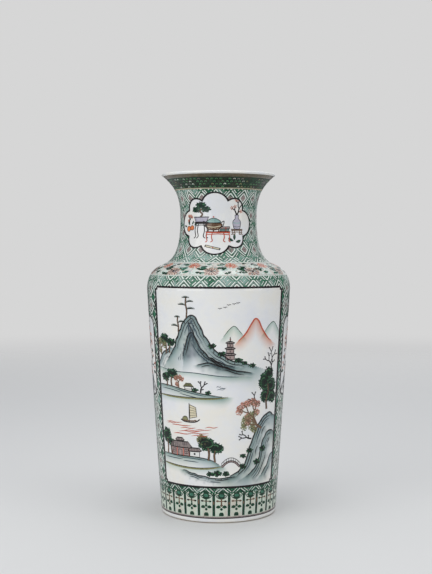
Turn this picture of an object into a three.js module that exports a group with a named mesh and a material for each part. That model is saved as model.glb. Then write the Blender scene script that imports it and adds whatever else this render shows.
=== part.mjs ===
// A tall enamelled porcelain vase with a tapering body, rounded shoulder, waisted neck and flared mouth.
// It was thrown in sections that were luted together with slip, so each section and each slip joint is a piece.
// Millimetres, +Z up, the origin at the centre of the foot's resting face.

import * as THREE from "three";

// Outside of the vase, from the foot up.
const footRadius = 76.4; // foot of the wall, above the bevel
const footBevelWidth = 2.7; // how far the resting edge is turned in
const footBevelHeight = 3.4;
const footBevelBow = 0.7; // how far the bevel bows out from a straight line
const bodyRadius = 95.4; // widest point, where the shoulder begins
const bodyHeight = 297; // height of that point above the table
const bodyBulge = 0.6; // how far the tapering wall bows out from a straight line
const shoulderRise = 31.3; // from the widest point to where the shoulder turns into the neck
const shoulderEdgeRadius = 76; // radius at that turn
const shoulderSlope = 0.42; // fall over run at that turn
const shoulderUpReach = 16; // pull of the curve straight up from the widest point
const shoulderOutReach = 14; // pull of the curve outwards from the turn
const waistRadius = 50.8; // narrowest point of the neck
const waistRise = 63.7; // from the shoulder's turn to the waist
const coveInReach = 17.5; // pull of the neck's foot inwards from the turn
const coveDownReach = 45; // pull straight down from the waist
const mouthRise = 55; // from the waist to the underside of the lip
const mouthRadius = 74.8; // radius at the underside of the lip
const mouthSlope = 0.8; // rise over run under the lip
const mouthUpReach = 30; // pull of the curve straight up from the waist
const mouthInReach = 19; // pull of the curve back from the lip
const lipHeight = 3; // rolled edge above the mouth's curve
const lipRoll = 0.9; // how far the lip swells past the mouth's curve
const lipEdgeDrop = 0.4; // the lip's rounding, below its top
const lipInsideDrop = 1.8; // where the lip meets the inside of the mouth, below its top

// Thickness of the porcelain.
const wallThickness = 6.5; // body
const neckThickness = 5.5; // shoulder and neck
const lipThickness = 4.2; // at the mouth

// Foot ring and base.
const footRingHeight = 8.4;
const footRingWidth = 9.6; // across its top, where it is luted to the base
const footRingInsideBevel = 1.6;
const baseThickness = 8;
const baseDish = 1.6; // how far the floor inside sinks towards its middle
const floorMiddleRadius = 42; // within this the floor is nearly level
const floorMiddleRise = 0.2; // from the very middle to that radius

// Slip joints between the thrown sections.
const slipThickness = 0.6;
const slipBeadHeight = 3; // squeezed up and down the inside wall from the joint
const slipBeadDepth = 1.4; // how far the bead stands into the vase
const slipClearance = 0.3; // between the bead and the wall beside it
const middleJointHeight = 154.7; // the body is two sections, joined here
const shoulderJointDrop = 6.7; // below the widest point
const neckJointRise = 16; // above the shoulder's turn
const mouthJointDrop = 22.7; // below the underside of the lip

const turnSegments = 48; // flats round the vase
const bodySteps = 6; // flats up each curve of the outline
const shoulderSteps = 7;
const coveSteps = 7;
const flareSteps = 8;
const porcelainColour = 0xe4e4dc;
const slipColour = 0xd3cbb9;

const porcelain = new THREE.MeshStandardMaterial({ color: porcelainColour, roughness: 0.16, metalness: 0 });
const slip = new THREE.MeshStandardMaterial({ color: slipColour, roughness: 0.5, metalness: 0 });

// Heights of the stations that the outline is drawn through.
const shoulderTurnHeight = bodyHeight + shoulderRise;
const waistHeight = shoulderTurnHeight + waistRise;
const lipFootHeight = waistHeight + mouthRise;
const totalHeight = lipFootHeight + lipHeight;

function point(radius, height) {
  return new THREE.Vector2(radius, height);
}

// A point at a distance from another, along a direction given by its run and rise.
function reach(from, run, rise, distance) {
  return from.clone().addScaledVector(point(run, rise).normalize(), distance);
}

// The outside, as curves from the foot to the lip, each with the wall's thickness at its two ends.
function outsideCurves() {
  const foot = point(footRadius, footBevelHeight);
  const widest = point(bodyRadius, bodyHeight);
  const turn = point(shoulderEdgeRadius, shoulderTurnHeight);
  const waist = point(waistRadius, waistHeight);
  const lip = point(mouthRadius, lipFootHeight);
  const bow = foot.clone().lerp(widest, 0.5).add(point(2 * bodyBulge, 0));
  return [
    {
      curve: new THREE.QuadraticBezierCurve(foot, bow, widest),
      steps: bodySteps,
      from: wallThickness,
      to: wallThickness,
    },
    {
      curve: new THREE.CubicBezierCurve(
        widest,
        reach(widest, 0, 1, shoulderUpReach),
        reach(turn, 1, -shoulderSlope, shoulderOutReach),
        turn,
      ),
      steps: shoulderSteps,
      from: wallThickness,
      to: neckThickness,
    },
    {
      curve: new THREE.CubicBezierCurve(
        turn,
        reach(turn, -1, shoulderSlope, coveInReach),
        reach(waist, 0, -1, coveDownReach),
        waist,
      ),
      steps: coveSteps,
      from: neckThickness,
      to: neckThickness,
    },
    {
      curve: new THREE.CubicBezierCurve(
        waist,
        reach(waist, 0, 1, mouthUpReach),
        reach(lip, -1, -mouthSlope, mouthInReach),
        lip,
      ),
      steps: flareSteps,
      from: neckThickness,
      to: lipThickness,
    },
  ];
}

// The outside and inside of the wall as two lines of points, foot to lip.
function wallLines() {
  const outside = [];
  const inside = [];
  for (const { curve, steps, from, to } of outsideCurves()) {
    for (let i = outside.length ? 1 : 0; i <= steps; i++) {
      const share = i / steps;
      const along = curve.getTangent(share);
      const thickness = THREE.MathUtils.lerp(from, to, share);
      const here = curve.getPoint(share);
      outside.push(here);
      inside.push(here.clone().add(point(-along.y, along.x).multiplyScalar(thickness)));
    }
  }
  return { outside, inside };
}

const { outside, inside } = wallLines();

// The radius of a line at a height.
function radiusAt(line, height) {
  const upper = Math.max(1, line.findIndex((p) => p.y >= height));
  const [a, b] = [line[upper - 1], line[upper]];
  return a.x + ((b.x - a.x) * (height - a.y)) / (b.y - a.y);
}

// The stretch of a line between two heights, with a point exactly at each.
function stretch(line, low, high) {
  const between = line.filter((p) => p.y > low && p.y < high);
  return [point(radiusAt(line, low), low), ...between, point(radiusAt(line, high), high)];
}

// A solid turned about the vertical axis from an outline that closes on itself or on the axis.
function turned(name, outline, material) {
  const closed = outline[0].x === 0 ? outline : [...outline, outline[0].clone()];
  const geometry = new THREE.LatheGeometry(closed, turnSegments).rotateX(Math.PI / 2);
  const mesh = new THREE.Mesh(geometry, material);
  mesh.name = name;
  return mesh;
}

// A thrown section of the wall between two heights.
function wallSection(name, low, high) {
  return turned(name, [...stretch(outside, low, high), ...stretch(inside, low, high).reverse()], porcelain);
}

// The slip between two wall sections, with the bead that it leaves inside.
function slipJoint(name, height) {
  const low = height - slipThickness / 2;
  const high = height + slipThickness / 2;
  const bead = (at) => point(radiusAt(inside, at) - slipClearance, at);
  const crest = bead(height);
  crest.x -= slipBeadDepth;
  const outline = [
    point(radiusAt(outside, low), low),
    point(radiusAt(outside, high), high),
    bead(high),
    bead(high + slipBeadHeight),
    crest,
    bead(low - slipBeadHeight),
    bead(low),
  ];
  return turned(name, outline, slip);
}

// A flat ring of slip between two level faces.
function flatSlip(name, low, innerRadius) {
  const high = low + slipThickness;
  const outline = [
    point(radiusAt(outside, low), low),
    point(radiusAt(outside, high), high),
    point(innerRadius, high),
    point(innerRadius, low),
  ];
  return turned(name, outline, slip);
}

// The ring that the vase stands on.
function footRing() {
  const topRadius = radiusAt(outside, footRingHeight);
  const innerRadius = topRadius - footRingWidth;
  const restRadius = footRadius - footBevelWidth;
  const outline = [
    point(restRadius, 0),
    point(footRadius - footBevelWidth / 2 + footBevelBow, footBevelHeight / 2),
    point(footRadius, footBevelHeight),
    point(topRadius, footRingHeight),
    point(innerRadius, footRingHeight),
    point(innerRadius, footRingInsideBevel),
    point(innerRadius + footRingInsideBevel, 0),
  ];
  return turned("foot_ring", outline, porcelain);
}

const baseHeight = footRingHeight + slipThickness;
const baseTopHeight = baseHeight + baseThickness;
const wallFootHeight = baseTopHeight + slipThickness;

// The disc that closes the bottom, with a floor that dishes towards its middle.
function base() {
  const floorRadius = radiusAt(inside, wallFootHeight) - slipClearance;
  const outline = [
    point(0, baseHeight),
    point(radiusAt(outside, baseHeight), baseHeight),
    point(radiusAt(outside, baseTopHeight), baseTopHeight),
    point(floorRadius, baseTopHeight),
    point(floorMiddleRadius, baseTopHeight - baseDish + floorMiddleRise),
    point(0, baseTopHeight - baseDish),
  ];
  return turned("base", outline, porcelain);
}

// The flared mouth with its rolled lip.
function mouth(low) {
  const outline = [
    ...stretch(outside, low, lipFootHeight),
    point(mouthRadius + lipRoll, lipFootHeight + lipHeight / 2),
    point(mouthRadius, totalHeight - lipEdgeDrop),
    point(mouthRadius - lipThickness / 2, totalHeight),
    point(mouthRadius - lipThickness, totalHeight - lipEdgeDrop),
    ...stretch(inside, low, totalHeight - lipInsideDrop).reverse(),
  ];
  return turned("mouth", outline, porcelain);
}

function vase() {
  const shoulderJoint = bodyHeight - shoulderJointDrop;
  const neckJoint = shoulderTurnHeight + neckJointRise;
  const mouthJoint = lipFootHeight - mouthJointDrop;
  const half = slipThickness / 2;
  const footInside = radiusAt(outside, footRingHeight) - footRingWidth;
  const group = new THREE.Group();
  group.add(
    footRing(),
    flatSlip("foot_slip", footRingHeight, footInside),
    base(),
    flatSlip("base_slip", baseTopHeight, radiusAt(inside, wallFootHeight)),
    wallSection("lower_wall", wallFootHeight, middleJointHeight - half),
    slipJoint("middle_slip", middleJointHeight),
    wallSection("upper_wall", middleJointHeight + half, shoulderJoint - half),
    slipJoint("shoulder_slip", shoulderJoint),
    wallSection("shoulder", shoulderJoint + half, neckJoint - half),
    slipJoint("neck_slip", neckJoint),
    wallSection("neck", neckJoint + half, mouthJoint - half),
    slipJoint("mouth_slip", mouthJoint),
    mouth(mouthJoint + half),
  );
  return group;
}

export default vase();
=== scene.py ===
# A tall porcelain vase painted in green-family enamels, dressed over its thrown sections.
# The frame is in metres. The outline and the painting are drawn in millimetres.
# Painted work is drawn flat, x round the wall, y up it and z off the glaze, and is then wrapped on.

import math
import random

import bpy
import numpy as np
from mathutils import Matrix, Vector


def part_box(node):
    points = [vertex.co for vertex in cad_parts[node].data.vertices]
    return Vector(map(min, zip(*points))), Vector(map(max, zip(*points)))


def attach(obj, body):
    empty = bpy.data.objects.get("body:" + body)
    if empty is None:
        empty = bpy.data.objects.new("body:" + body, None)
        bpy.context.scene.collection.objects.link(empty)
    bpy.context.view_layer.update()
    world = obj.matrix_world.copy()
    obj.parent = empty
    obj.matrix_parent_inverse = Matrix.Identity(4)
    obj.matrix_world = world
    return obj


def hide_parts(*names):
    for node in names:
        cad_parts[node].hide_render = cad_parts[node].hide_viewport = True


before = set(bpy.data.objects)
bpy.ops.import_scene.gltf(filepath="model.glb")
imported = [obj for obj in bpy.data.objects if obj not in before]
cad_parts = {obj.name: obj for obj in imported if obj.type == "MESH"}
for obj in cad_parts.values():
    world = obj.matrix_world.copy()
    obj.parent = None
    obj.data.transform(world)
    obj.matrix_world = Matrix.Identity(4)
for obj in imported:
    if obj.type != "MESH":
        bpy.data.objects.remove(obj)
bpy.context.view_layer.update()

MM = 0.001
TURN = 2 * math.pi
TURN_FACETS = 192  # steps of every turned piece
SMOOTH_ANGLE = math.radians(40)  # edges sharper than this stay crisp
TURNED_WELD = 0.002  # points nearer than this become one
DRAWN_WELD = 0.001
GROUND_WELD = 0.004
BURIED = -0.05  # how deep painted work reaches into the glaze
SOFT_STEP = 1.5  # from point to point along a soft stroke
STRAIGHT_STEP = 2.5
FILL_STEP = 1.2  # round a soft filled shape
WASH_STEP = 2
LEAF_TIP = 0.08  # share of its width that a leaf keeps at its ends
TAPER = 4  # full widths that a stroke gains over its length, from each tip
DAB_TIPS = (0.35, 0.35)
PUFF_LEAVES = 46  # touches in each puff of a leafy tree
CLIP_STEP = 0.3  # how finely a stroke is cut off at an edge
TRIM_STEP = 0.7  # how finely a filled shape is cut off there
TRIM_TRIES = 30  # places tried between a point of its rim and its middle
TRIM_LEAST = 5  # points inside the edge, below which a filled shape is dropped
RIM_POINTS = 240  # round a lobed reserve
LEVEL = 1e-6  # the least slant of a direction, so that nothing is divided by zero

# The outline, as the CAD sections have it.
FOOT_RADIUS = 76.4
FOOT_BEVEL_WIDTH = 2.7
FOOT_BEVEL_HEIGHT = 3.4
FOOT_RING_WIDTH = 9.6
FOOT_RING_INSIDE_BEVEL = 1.6
BODY_RADIUS = 95.4
BODY_HEIGHT = 297
BODY_BULGE = 0.6
SHOULDER_TURN = (76, 328.3)
SHOULDER_SLOPE = 0.42
SHOULDER_REACHES = (16, 14)
WAIST = (50.8, 392)
COVE_REACHES = (17.5, 45)
MOUTH_RADIUS = 74.8
LIP_FOOT = 447
MOUTH_SLOPE = 0.8
MOUTH_REACHES = (30, 19)
WALL_THICKNESS = 6.5
NECK_THICKNESS = 5.5
LIP_THICKNESS = 4.2
LIP_INSIDE_DROP = 1.8  # where the lip meets the inside of the mouth
FLOOR_DISH = 1.6

# Rounder than in the CAD sections, or parted by the glaze.
LIP_ROLL = 1.2
LIP_ROLL_DROP = 0.8  # how far the roll reaches down over the wall
BARE_EDGE_HIGH = 0.9  # the clay of the foot ring is bare below this
BEVEL_END = 4  # where the straight wall takes over from the foot's bevel
FLOOR_LEVEL_RADIUS = 55  # pulls the dished floor level
RIDGE_HALF_HEIGHT = 3  # slip squeezed from a joint on the inside wall
RIDGE_DEPTH = 1.4
RIDGE_SINK = 0.4  # how far its back lies in the wall

# Heights of the painted bands, up the outside.
FOOT_LINE_LOW = 5.5
FOOT_LINE_DARK = 1.6  # height of its black lower part
LAPPET_LOW = 8.9
LAPPET_HIGH = 38.8
PANEL_LOW = 46.5
PANEL_HIGH = 301.2
BODY_DIAPER_HIGH = 315.8
FLOWER_HIGH = 332.5
NECK_LINE = 428
MOUTH_BAND_HIGH = 442.3
BAND_GAP = 0.3  # left between one band and the next
PANEL_HALF_ANGLE = math.radians(58.5)
PANEL_NOTCH = 3
SIDE_CARTOUCHE_LOW = 150
SIDE_CARTOUCHE_HIGH = 270
NECK_CARTOUCHE_MIDDLE = 383.2
NECK_CARTOUCHE_SHIFT = -5  # how far round the front it lies
FRAME_LINE = 2.5  # width of the black line round a reserve
NECK_FRAME_LINE = 2.1
FRAME_SIDE_LINE = 3.7  # its width down the sides of a reserve on the body

# Radii at which flat work is drawn to its true width.
BODY_TURN = 88
NECK_TURN = 54
SHOULDER_TURN_RADIUS = 81
MOUTH_TURN = 62
FOOT_TURN = 77.2

# What repeats round the vase.
LAPPETS = 25
LAPPET_SHIFT = math.radians(2.6) * FOOT_TURN  # how far round the front a lappet's middle lies
CHEVRONS = 22
CHEVRON_SHIFT = math.radians(4) * FOOT_TURN
BODY_LOZENGES = 26
BODY_LOZENGE_HEIGHT = 22.8
BODY_SEAM = math.radians(62)  # where the green ground begins and ends
BODY_BEND = 286  # the ground is cut more finely above this height
NECK_LOZENGES = 18
NECK_LOZENGE_HEIGHT = 22.5
NECK_LOZENGE_SHIFT = math.radians(-3.6) * NECK_TURN
NECK_LOZENGE_ROW = 349  # height of one row of them
NECK_SEAM = math.pi / 2
FLOWERS = 10  # of each colour
RED_FLOWER_SHIFT = math.radians(12) * SHOULDER_TURN_RADIUS
BAND_CURLS = 760  # small strokes between the flowers
BAND_DOTS = 700
MOUTH_SCALES = 72
MOUTH_SCALE_ROWS = 4


def node_span(node):
    """The lowest and highest millimetre of a CAD node."""
    low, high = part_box(node)
    return low.z / MM, high.z / MM


def bezier(points, count):
    """Points along a Bezier curve of any degree."""
    share = np.linspace(0, 1, count)[:, None]
    rows = [np.ones_like(share) * np.array(point, float) for point in points]
    while len(rows) > 1:
        rows = [(1 - share) * a + share * b for a, b in zip(rows, rows[1:])]
    return rows[0]


def reach(start, run, rise, distance):
    """A point at a distance from another, along a direction given by its run and rise."""
    length = math.hypot(run, rise)
    return (start[0] + run / length * distance, start[1] + rise / length * distance)


def around(x, y, half_width, half_height, angle):
    """A point of an oval about a middle."""
    return (x + half_width * math.cos(angle), y + half_height * math.sin(angle))


def to_right(path):
    """A step of one to the right-hand side, at each point of a line."""
    along = np.gradient(path, axis=0)
    along /= np.linalg.norm(along, axis=1)[:, None]
    return np.stack([along[:, 1], -along[:, 0]], axis=1)


def wall_outline():
    """The outside line, its outward normals and the wall's thickness, from the foot to the lip."""
    foot = (FOOT_RADIUS, FOOT_BEVEL_HEIGHT)
    widest = (BODY_RADIUS, BODY_HEIGHT)
    lip = (MOUTH_RADIUS, LIP_FOOT)
    bow = ((foot[0] + widest[0]) / 2 + 2 * BODY_BULGE, (foot[1] + widest[1]) / 2)
    shoulder_up = reach(widest, 0, 1, SHOULDER_REACHES[0])
    shoulder_out = reach(SHOULDER_TURN, 1, -SHOULDER_SLOPE, SHOULDER_REACHES[1])
    cove_in = reach(SHOULDER_TURN, -1, SHOULDER_SLOPE, COVE_REACHES[0])
    cove_down = reach(WAIST, 0, -1, COVE_REACHES[1])
    mouth_up = reach(WAIST, 0, 1, MOUTH_REACHES[0])
    mouth_in = reach(lip, -1, -MOUTH_SLOPE, MOUTH_REACHES[1])
    line = []
    thickness = []
    for points, count, start, end in (
        ((foot, bow, widest), 60, WALL_THICKNESS, WALL_THICKNESS),
        ((widest, shoulder_up, shoulder_out, SHOULDER_TURN), 40, WALL_THICKNESS, NECK_THICKNESS),
        ((SHOULDER_TURN, cove_in, cove_down, WAIST), 50, NECK_THICKNESS, NECK_THICKNESS),
        ((WAIST, mouth_up, mouth_in, lip), 40, NECK_THICKNESS, LIP_THICKNESS),
    ):
        skipped = 1 if line else 0
        line.extend(bezier(points, count)[skipped:])
        thickness.extend(np.linspace(start, end, count)[skipped:])
    line = np.array(line)
    return line, to_right(line), np.array(thickness)


OUTSIDE, OUTWARD, THICKNESS = wall_outline()
INSIDE = OUTSIDE - OUTWARD * THICKNESS[:, None]
STEPS = np.linalg.norm(np.diff(OUTSIDE, axis=0), axis=1)
ARC = FOOT_BEVEL_HEIGHT + np.concatenate([[0], np.cumsum(STEPS)])


def up(height):
    """How far up the wall a height lies, measured along the outside."""
    return float(np.interp(height, OUTSIDE[:, 1], ARC))


def on_wall(along, off):
    """Radius and height of points up the wall, at a distance off the glaze."""
    radius = np.interp(along, ARC, OUTSIDE[:, 0]) + off * np.interp(along, ARC, OUTWARD[:, 0])
    height = np.interp(along, ARC, OUTSIDE[:, 1]) + off * np.interp(along, ARC, OUTWARD[:, 1])
    return radius, height


def radius_at(line, height):
    return float(np.interp(height, line[:, 1], line[:, 0]))


def stretch(line, low, high):
    """The stretch of a line between two heights, with a point exactly at each."""
    clear = 0.05
    between = line[(line[:, 1] > low + clear) & (line[:, 1] < high - clear)]
    return [(radius_at(line, low), low), *map(tuple, between), (radius_at(line, high), high)]


def smooth(points, step=1.0, closed=False):
    """A soft line through the given points."""
    points = [np.array(point, float) for point in points]
    if len(points) < 3:
        return even(points, step)
    if closed:
        points = [points[-1], *points, points[0], points[1]]
    else:
        points = [2 * points[0] - points[1], *points, 2 * points[-1] - points[-2]]
    line = []
    for a, b, c, d in zip(points, points[1:], points[2:], points[3:]):
        count = max(2, int(np.linalg.norm(c - b) / step))
        slope, curve, twist = c - a, 2 * a - 5 * b + 4 * c - d, 3 * b - a - 3 * c + d
        for share in np.arange(count) / count:
            line.append(0.5 * (2 * b + slope * share + curve * share**2 + twist * share**3))
    if not closed:
        line.append(points[-2])
    return np.array(line)


def even(points, step):
    """The same straight-edged line with a point at least every step."""
    line = [np.array(points[0], float)]
    for a, b in zip(points, points[1:]):
        a = np.array(a, float)
        b = np.array(b, float)
        count = max(1, math.ceil(np.linalg.norm(b - a) / step))
        line.extend(a + (b - a) * share for share in np.arange(1, count + 1) / count)
    return np.array(line)


# Materials

def srgb(red, green, blue):
    """A colour given in the 0 to 255 steps of a picture."""
    shares = [value / 255 for value in (red, green, blue)]
    return (*[s / 12.92 if s <= 0.04045 else ((s + 0.055) / 1.055) ** 2.4 for s in shares], 1)


def grey(share):
    return (share, share, share, 1)


CLEAR = grey(0)
WHITE_GLAZE = [srgb(220, 222, 226), srgb(228, 228, 225), srgb(230, 227, 217)]
NOISE_RANGE = (0.3, 0.7)  # the values that a noise pattern fills
DRIFT_RANGE = (0.48, 0.66)
PAINTED_SHEEN_STEPS = (0, 1, 1, 0.8, 0.5, 0)  # how the painted sheen, a painted highlight, comes and goes up the wall
RIPPLE_STRENGTH = 0.6


def node(tree, kind, inputs=None, **settings):
    """Adds a node with its settings. An input is given a value, or another node's output to join."""
    made = tree.nodes.new(f"ShaderNode{kind}")
    for name, value in settings.items():
        setattr(made, name, value)
    for name, value in (inputs or {}).items():
        if isinstance(value, bpy.types.NodeSocket):
            tree.links.new(value, made.inputs[name])
        else:
            made.inputs[name].default_value = value
    return made


def noise(tree, place, size_mm, detail):
    """A noise pattern whose patches are about this size, in millimetres."""
    inputs = {"Scale": 1 / (size_mm * MM), "Detail": detail, "Vector": place}
    return node(tree, "TexNoise", inputs).outputs["Fac"]


def ramp(tree, value, colours, span=NOISE_RANGE):
    """Spreads colours evenly over a range of values."""
    spread = node(tree, "ValToRGB", {"Fac": value})
    stops = spread.color_ramp.elements
    while len(stops) < len(colours):
        stops.new(0.5)
    for i, colour in enumerate(colours):
        stops[i].position = span[0] + (span[1] - span[0]) * i / (len(colours) - 1)
        stops[i].color = colour
    return spread.outputs["Color"]


def mix(tree, factor, a, b, blend="MIX"):
    return node(tree, "Mix", {0: factor, 6: a, 7: b}, data_type="RGBA", blend_type=blend).outputs[2]


def fired(
    name, colours, patch=9, grain=0.9, grain_share=0.35, gloss=(0.08, 0.2), ripple=0.02, painted=False,
    drift=None, painted_sheen=None, shine=0.5,
):
    """A fired surface: patches of colour, finer grain in them, uneven gloss and a slight ripple.

    A drift is a colour that it wanders to over wider patches, with their size and how far it goes.
    A painted sheen is a pale colour that it thins to between two heights, a painted highlight, with how far
    it goes."""
    material = bpy.data.materials.new(name)
    material.use_nodes = True
    tree = material.node_tree
    shader = tree.nodes["Principled BSDF"]
    shader.inputs["Specular IOR Level"].default_value = shine
    place = node(tree, "TexCoord").outputs["Object"]
    patches = ramp(tree, noise(tree, place, patch, 3), colours)
    grains = ramp(tree, noise(tree, place, grain, 2), colours)
    colour = mix(tree, grain_share, patches, grains)
    if drift:
        drift_colour, size, share = drift
        wander = ramp(tree, noise(tree, place, size, 2), [CLEAR, grey(share)], DRIFT_RANGE)
        colour = mix(tree, wander, colour, srgb(*drift_colour))
    # Painted highlight: the colour turns pale between two heights, where light catches the shoulder.
    if painted_sheen:
        sheen_colour, low, high, share = painted_sheen
        axes = node(tree, "SeparateXYZ", {"Vector": place})
        heights = {"Value": axes.outputs["Z"], "From Min": low * MM, "From Max": high * MM}
        level = node(tree, "MapRange", heights)
        steps = [grey(share * part) for part in PAINTED_SHEEN_STEPS]
        zone = ramp(tree, level.outputs["Result"], steps, (0, 1))
        colour = mix(tree, zone, colour, srgb(*sheen_colour))
    if painted:
        wash = node(tree, "VertexColor", layer_name="wash")
        colour = mix(tree, 1.0, colour, wash.outputs["Color"], "MULTIPLY")
    tree.links.new(colour, shader.inputs["Base Color"])
    spots = noise(tree, place, patch / 2, 2)
    spread = {"From Min": NOISE_RANGE[0], "From Max": NOISE_RANGE[1], "To Min": gloss[0], "To Max": gloss[1]}
    rough = node(tree, "MapRange", {"Value": spots, **spread})
    tree.links.new(rough.outputs["Result"], shader.inputs["Roughness"])
    height = noise(tree, place, grain * 2, 2)
    bump = node(tree, "Bump", {"Height": height, "Distance": ripple * MM, "Strength": RIPPLE_STRENGTH})
    tree.links.new(bump.outputs["Normal"], shader.inputs["Normal"])
    return material


PORCELAIN = dict(patch=34, grain=5, grain_share=0.2, gloss=(0.06, 0.13), ripple=0.04)
GLAZE = fired("white_glaze", WHITE_GLAZE, **PORCELAIN)
WASHED_GLAZE = fired("washed_glaze", WHITE_GLAZE, painted=True, **PORCELAIN)
CLAY_COLOURS = [srgb(186, 168, 138), srgb(205, 192, 166), srgb(172, 142, 108)]
BARE_CLAY = fired("bare_clay", CLAY_COLOURS, gloss=(0.7, 0.85), ripple=0.15)
SLIP = fired("dried_slip", [srgb(205, 200, 186), srgb(220, 218, 208)], patch=6, gloss=(0.35, 0.5), ripple=0.1)


class Enamel:
    """A colour of the painter's: its finish, the record's slot, and how high it stands off the glaze.

    A stroke rises by its relief from its base, and a fill lies level at its own height."""

    def __init__(self, name, slot, colours, base=0.08, relief=0.1, fill=0.1, **finish):
        self.name = name
        self.slot = slot
        self.material = fired(f"{name}_enamel", [srgb(*colour) for colour in colours], **finish)
        self.base = base
        self.relief = relief
        self.fill = fill


GREEN, PALE_GREEN, BLUE_GREEN = "green_enamel", "pale_green_enamel", "blue_green_enamel"
RED, AUBERGINE, BLACK, WHITE = "iron_red_enamel", "aubergine_enamel", "black_enamel", "white_enamel"
FINE = dict(patch=3, grain=0.7)
SMALL = dict(patch=3, grain=0.8)
EVEN = dict(patch=4, grain=0.9)
LINE = dict(patch=4, grain=0.8, gloss=(0.25, 0.4), shine=0.25)

ENAMELS = {
    enamel.name: enamel
    for enamel in (
        Enamel(
            "ground_green", GREEN, [(6, 40, 26), (18, 78, 50), (38, 108, 76), (82, 140, 114)],
            patch=9, grain=1.6, grain_share=0.5, ripple=0.05, shine=0.3,
            # Its painted sheen is a painted highlight over the shoulder and neck.
            drift=((158, 184, 176), 15, 0.8), painted_sheen=((158, 190, 178), 292, 402, 0.12),
        ),
        Enamel(
            "mouth_green", GREEN, [(6, 24, 14), (14, 50, 30), (36, 86, 56)],
            patch=6, grain=1.2, grain_share=0.5, drift=((54, 50, 36), 11, 0.6), shine=0.3,
        ),
        Enamel(
            "leaf_green", GREEN, [(8, 34, 24), (18, 58, 40), (44, 92, 66)],
            fill=0.12, patch=3.2, grain=0.7, grain_share=0.5, shine=0.35,
        ),
        Enamel("teal_leaf", GREEN, [(24, 76, 58), (48, 106, 84), (84, 138, 116)], **SMALL),
        Enamel("leaf_light", GREEN, [(52, 104, 62), (78, 132, 84), (104, 152, 108)], 0.13, 0.06, **FINE),
        Enamel(
            "pale_green", PALE_GREEN, [(184, 198, 182), (198, 210, 194), (206, 212, 196)],
            patch=8, grain=1.2, drift=((198, 188, 176), 14, 0.7),
        ),
        Enamel(
            "band_ground", PALE_GREEN, [(188, 206, 198), (204, 214, 206), (214, 216, 208)],
            patch=5, grain=1.2, drift=((212, 194, 186), 10, 0.8),
        ),
        Enamel("olive", PALE_GREEN, [(96, 98, 60), (126, 126, 84), (150, 146, 106)], fill=0.11, **SMALL),
        Enamel(
            "blue_green", BLUE_GREEN, [(100, 138, 138), (138, 172, 166), (170, 196, 186)],
            fill=0.08, patch=6, grain=1.2,
        ),
        Enamel("slate", BLUE_GREEN, [(44, 60, 70), (74, 92, 100)], relief=0.07, patch=4, grain=0.8),
        Enamel("peach", RED, [(178, 90, 68), (196, 120, 96), (206, 150, 126)], base=0.1, **FINE),
        Enamel("petal_edge", RED, [(198, 164, 146), (214, 190, 174)], relief=0.07, **FINE),
        Enamel("orange", RED, [(206, 110, 62), (222, 142, 92)], **SMALL),
        Enamel(
            "iron_red", RED, [(150, 52, 34), (184, 74, 48), (202, 104, 74)], 0.17, 0.06,
            patch=3, grain=0.6, gloss=(0.25, 0.4),
        ),
        # Brown of the rim under the lip, darkened as a painted shadow under the lip roll.
        Enamel("lip_brown_and_shade", AUBERGINE, [(70, 62, 44), (90, 80, 60), (108, 96, 76)], patch=7),
        Enamel("rose", AUBERGINE, [(146, 128, 126), (170, 150, 144)], **EVEN),
        Enamel("lilac", AUBERGINE, [(150, 148, 166), (182, 178, 190)], **EVEN),
        Enamel("blossom", AUBERGINE, [(158, 98, 84), (188, 128, 110), (202, 152, 134)], patch=2.5, grain=0.7),
        Enamel("aubergine", AUBERGINE, [(102, 92, 92), (132, 120, 118), (158, 146, 140)], fill=0.14, **SMALL),
        Enamel(
            "bark", AUBERGINE, [(78, 58, 44), (108, 82, 62), (126, 102, 80)], 0.13, 0.07, patch=2.5, grain=0.7
        ),
        Enamel("black", BLACK, [(18, 16, 18), (34, 29, 30)], 0.11, 0.04, 0.12, **LINE),
        Enamel("ink", BLACK, [(16, 14, 16), (34, 29, 30)], 0.19, 0.05, 0.19, **LINE),
        Enamel(
            "white", WHITE, [(198, 214, 204), (216, 226, 216), (226, 230, 222)], 0.12, 0.08, 0.13,
            patch=6, grain=1.1,
        ),
        Enamel("cream", WHITE, [(162, 154, 126), (184, 178, 150), (200, 196, 170)], patch=5, grain=1),
        Enamel("straw", WHITE, [(206, 196, 164), (218, 210, 184)], **EVEN),
        Enamel("white_wall", WHITE, [(214, 216, 212), (224, 224, 220)], patch=6, grain=1),
    )
}


# Making pieces

def deselect():
    bpy.ops.object.select_all(action="DESELECT")


def select_only(piece):
    deselect()
    piece.select_set(True)
    bpy.context.view_layer.objects.active = piece


def shape(piece, *steps):
    """Takes each step on the whole mesh, in edit mode."""
    select_only(piece)
    bpy.ops.object.mode_set(mode="EDIT")
    for step in steps:
        bpy.ops.mesh.select_all(action="SELECT")
        step()
    bpy.ops.object.mode_set(mode="OBJECT")


def weld(distance):
    bpy.ops.mesh.remove_doubles(threshold=distance)


def face_outwards():
    bpy.ops.mesh.normals_make_consistent(inside=False)


def dress(piece, name, material, slot, *replaced):
    """Names a finished piece and ties it to the vase."""
    piece.name = name
    piece.data.name = name
    piece.data.materials.clear()
    piece.data.materials.append(material)
    select_only(piece)
    bpy.ops.object.shade_smooth_by_angle(angle=SMOOTH_ANGLE)
    if replaced:
        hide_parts(*replaced)
    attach(piece, "root")


def turned(name, outline, material, slot, *replaced):
    """A piece turned about the vase's axis from its closed outline of radius and height."""
    deselect()
    bpy.ops.mesh.primitive_circle_add(vertices=len(outline), radius=1, fill_type="NOTHING")
    piece = bpy.context.object
    for vertex, (radius, height) in zip(piece.data.vertices, outline):
        vertex.co = (0, -radius * MM, height * MM)
    shape(
        piece,
        lambda: bpy.ops.mesh.spin(steps=TURN_FACETS, angle=TURN, center=(0, 0, 0), axis=(0, 0, 1)),
        lambda: weld(TURNED_WELD * MM),
        bpy.ops.mesh.delete_loose,
        face_outwards,
    )
    dress(piece, name, material, slot, *replaced)


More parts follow.
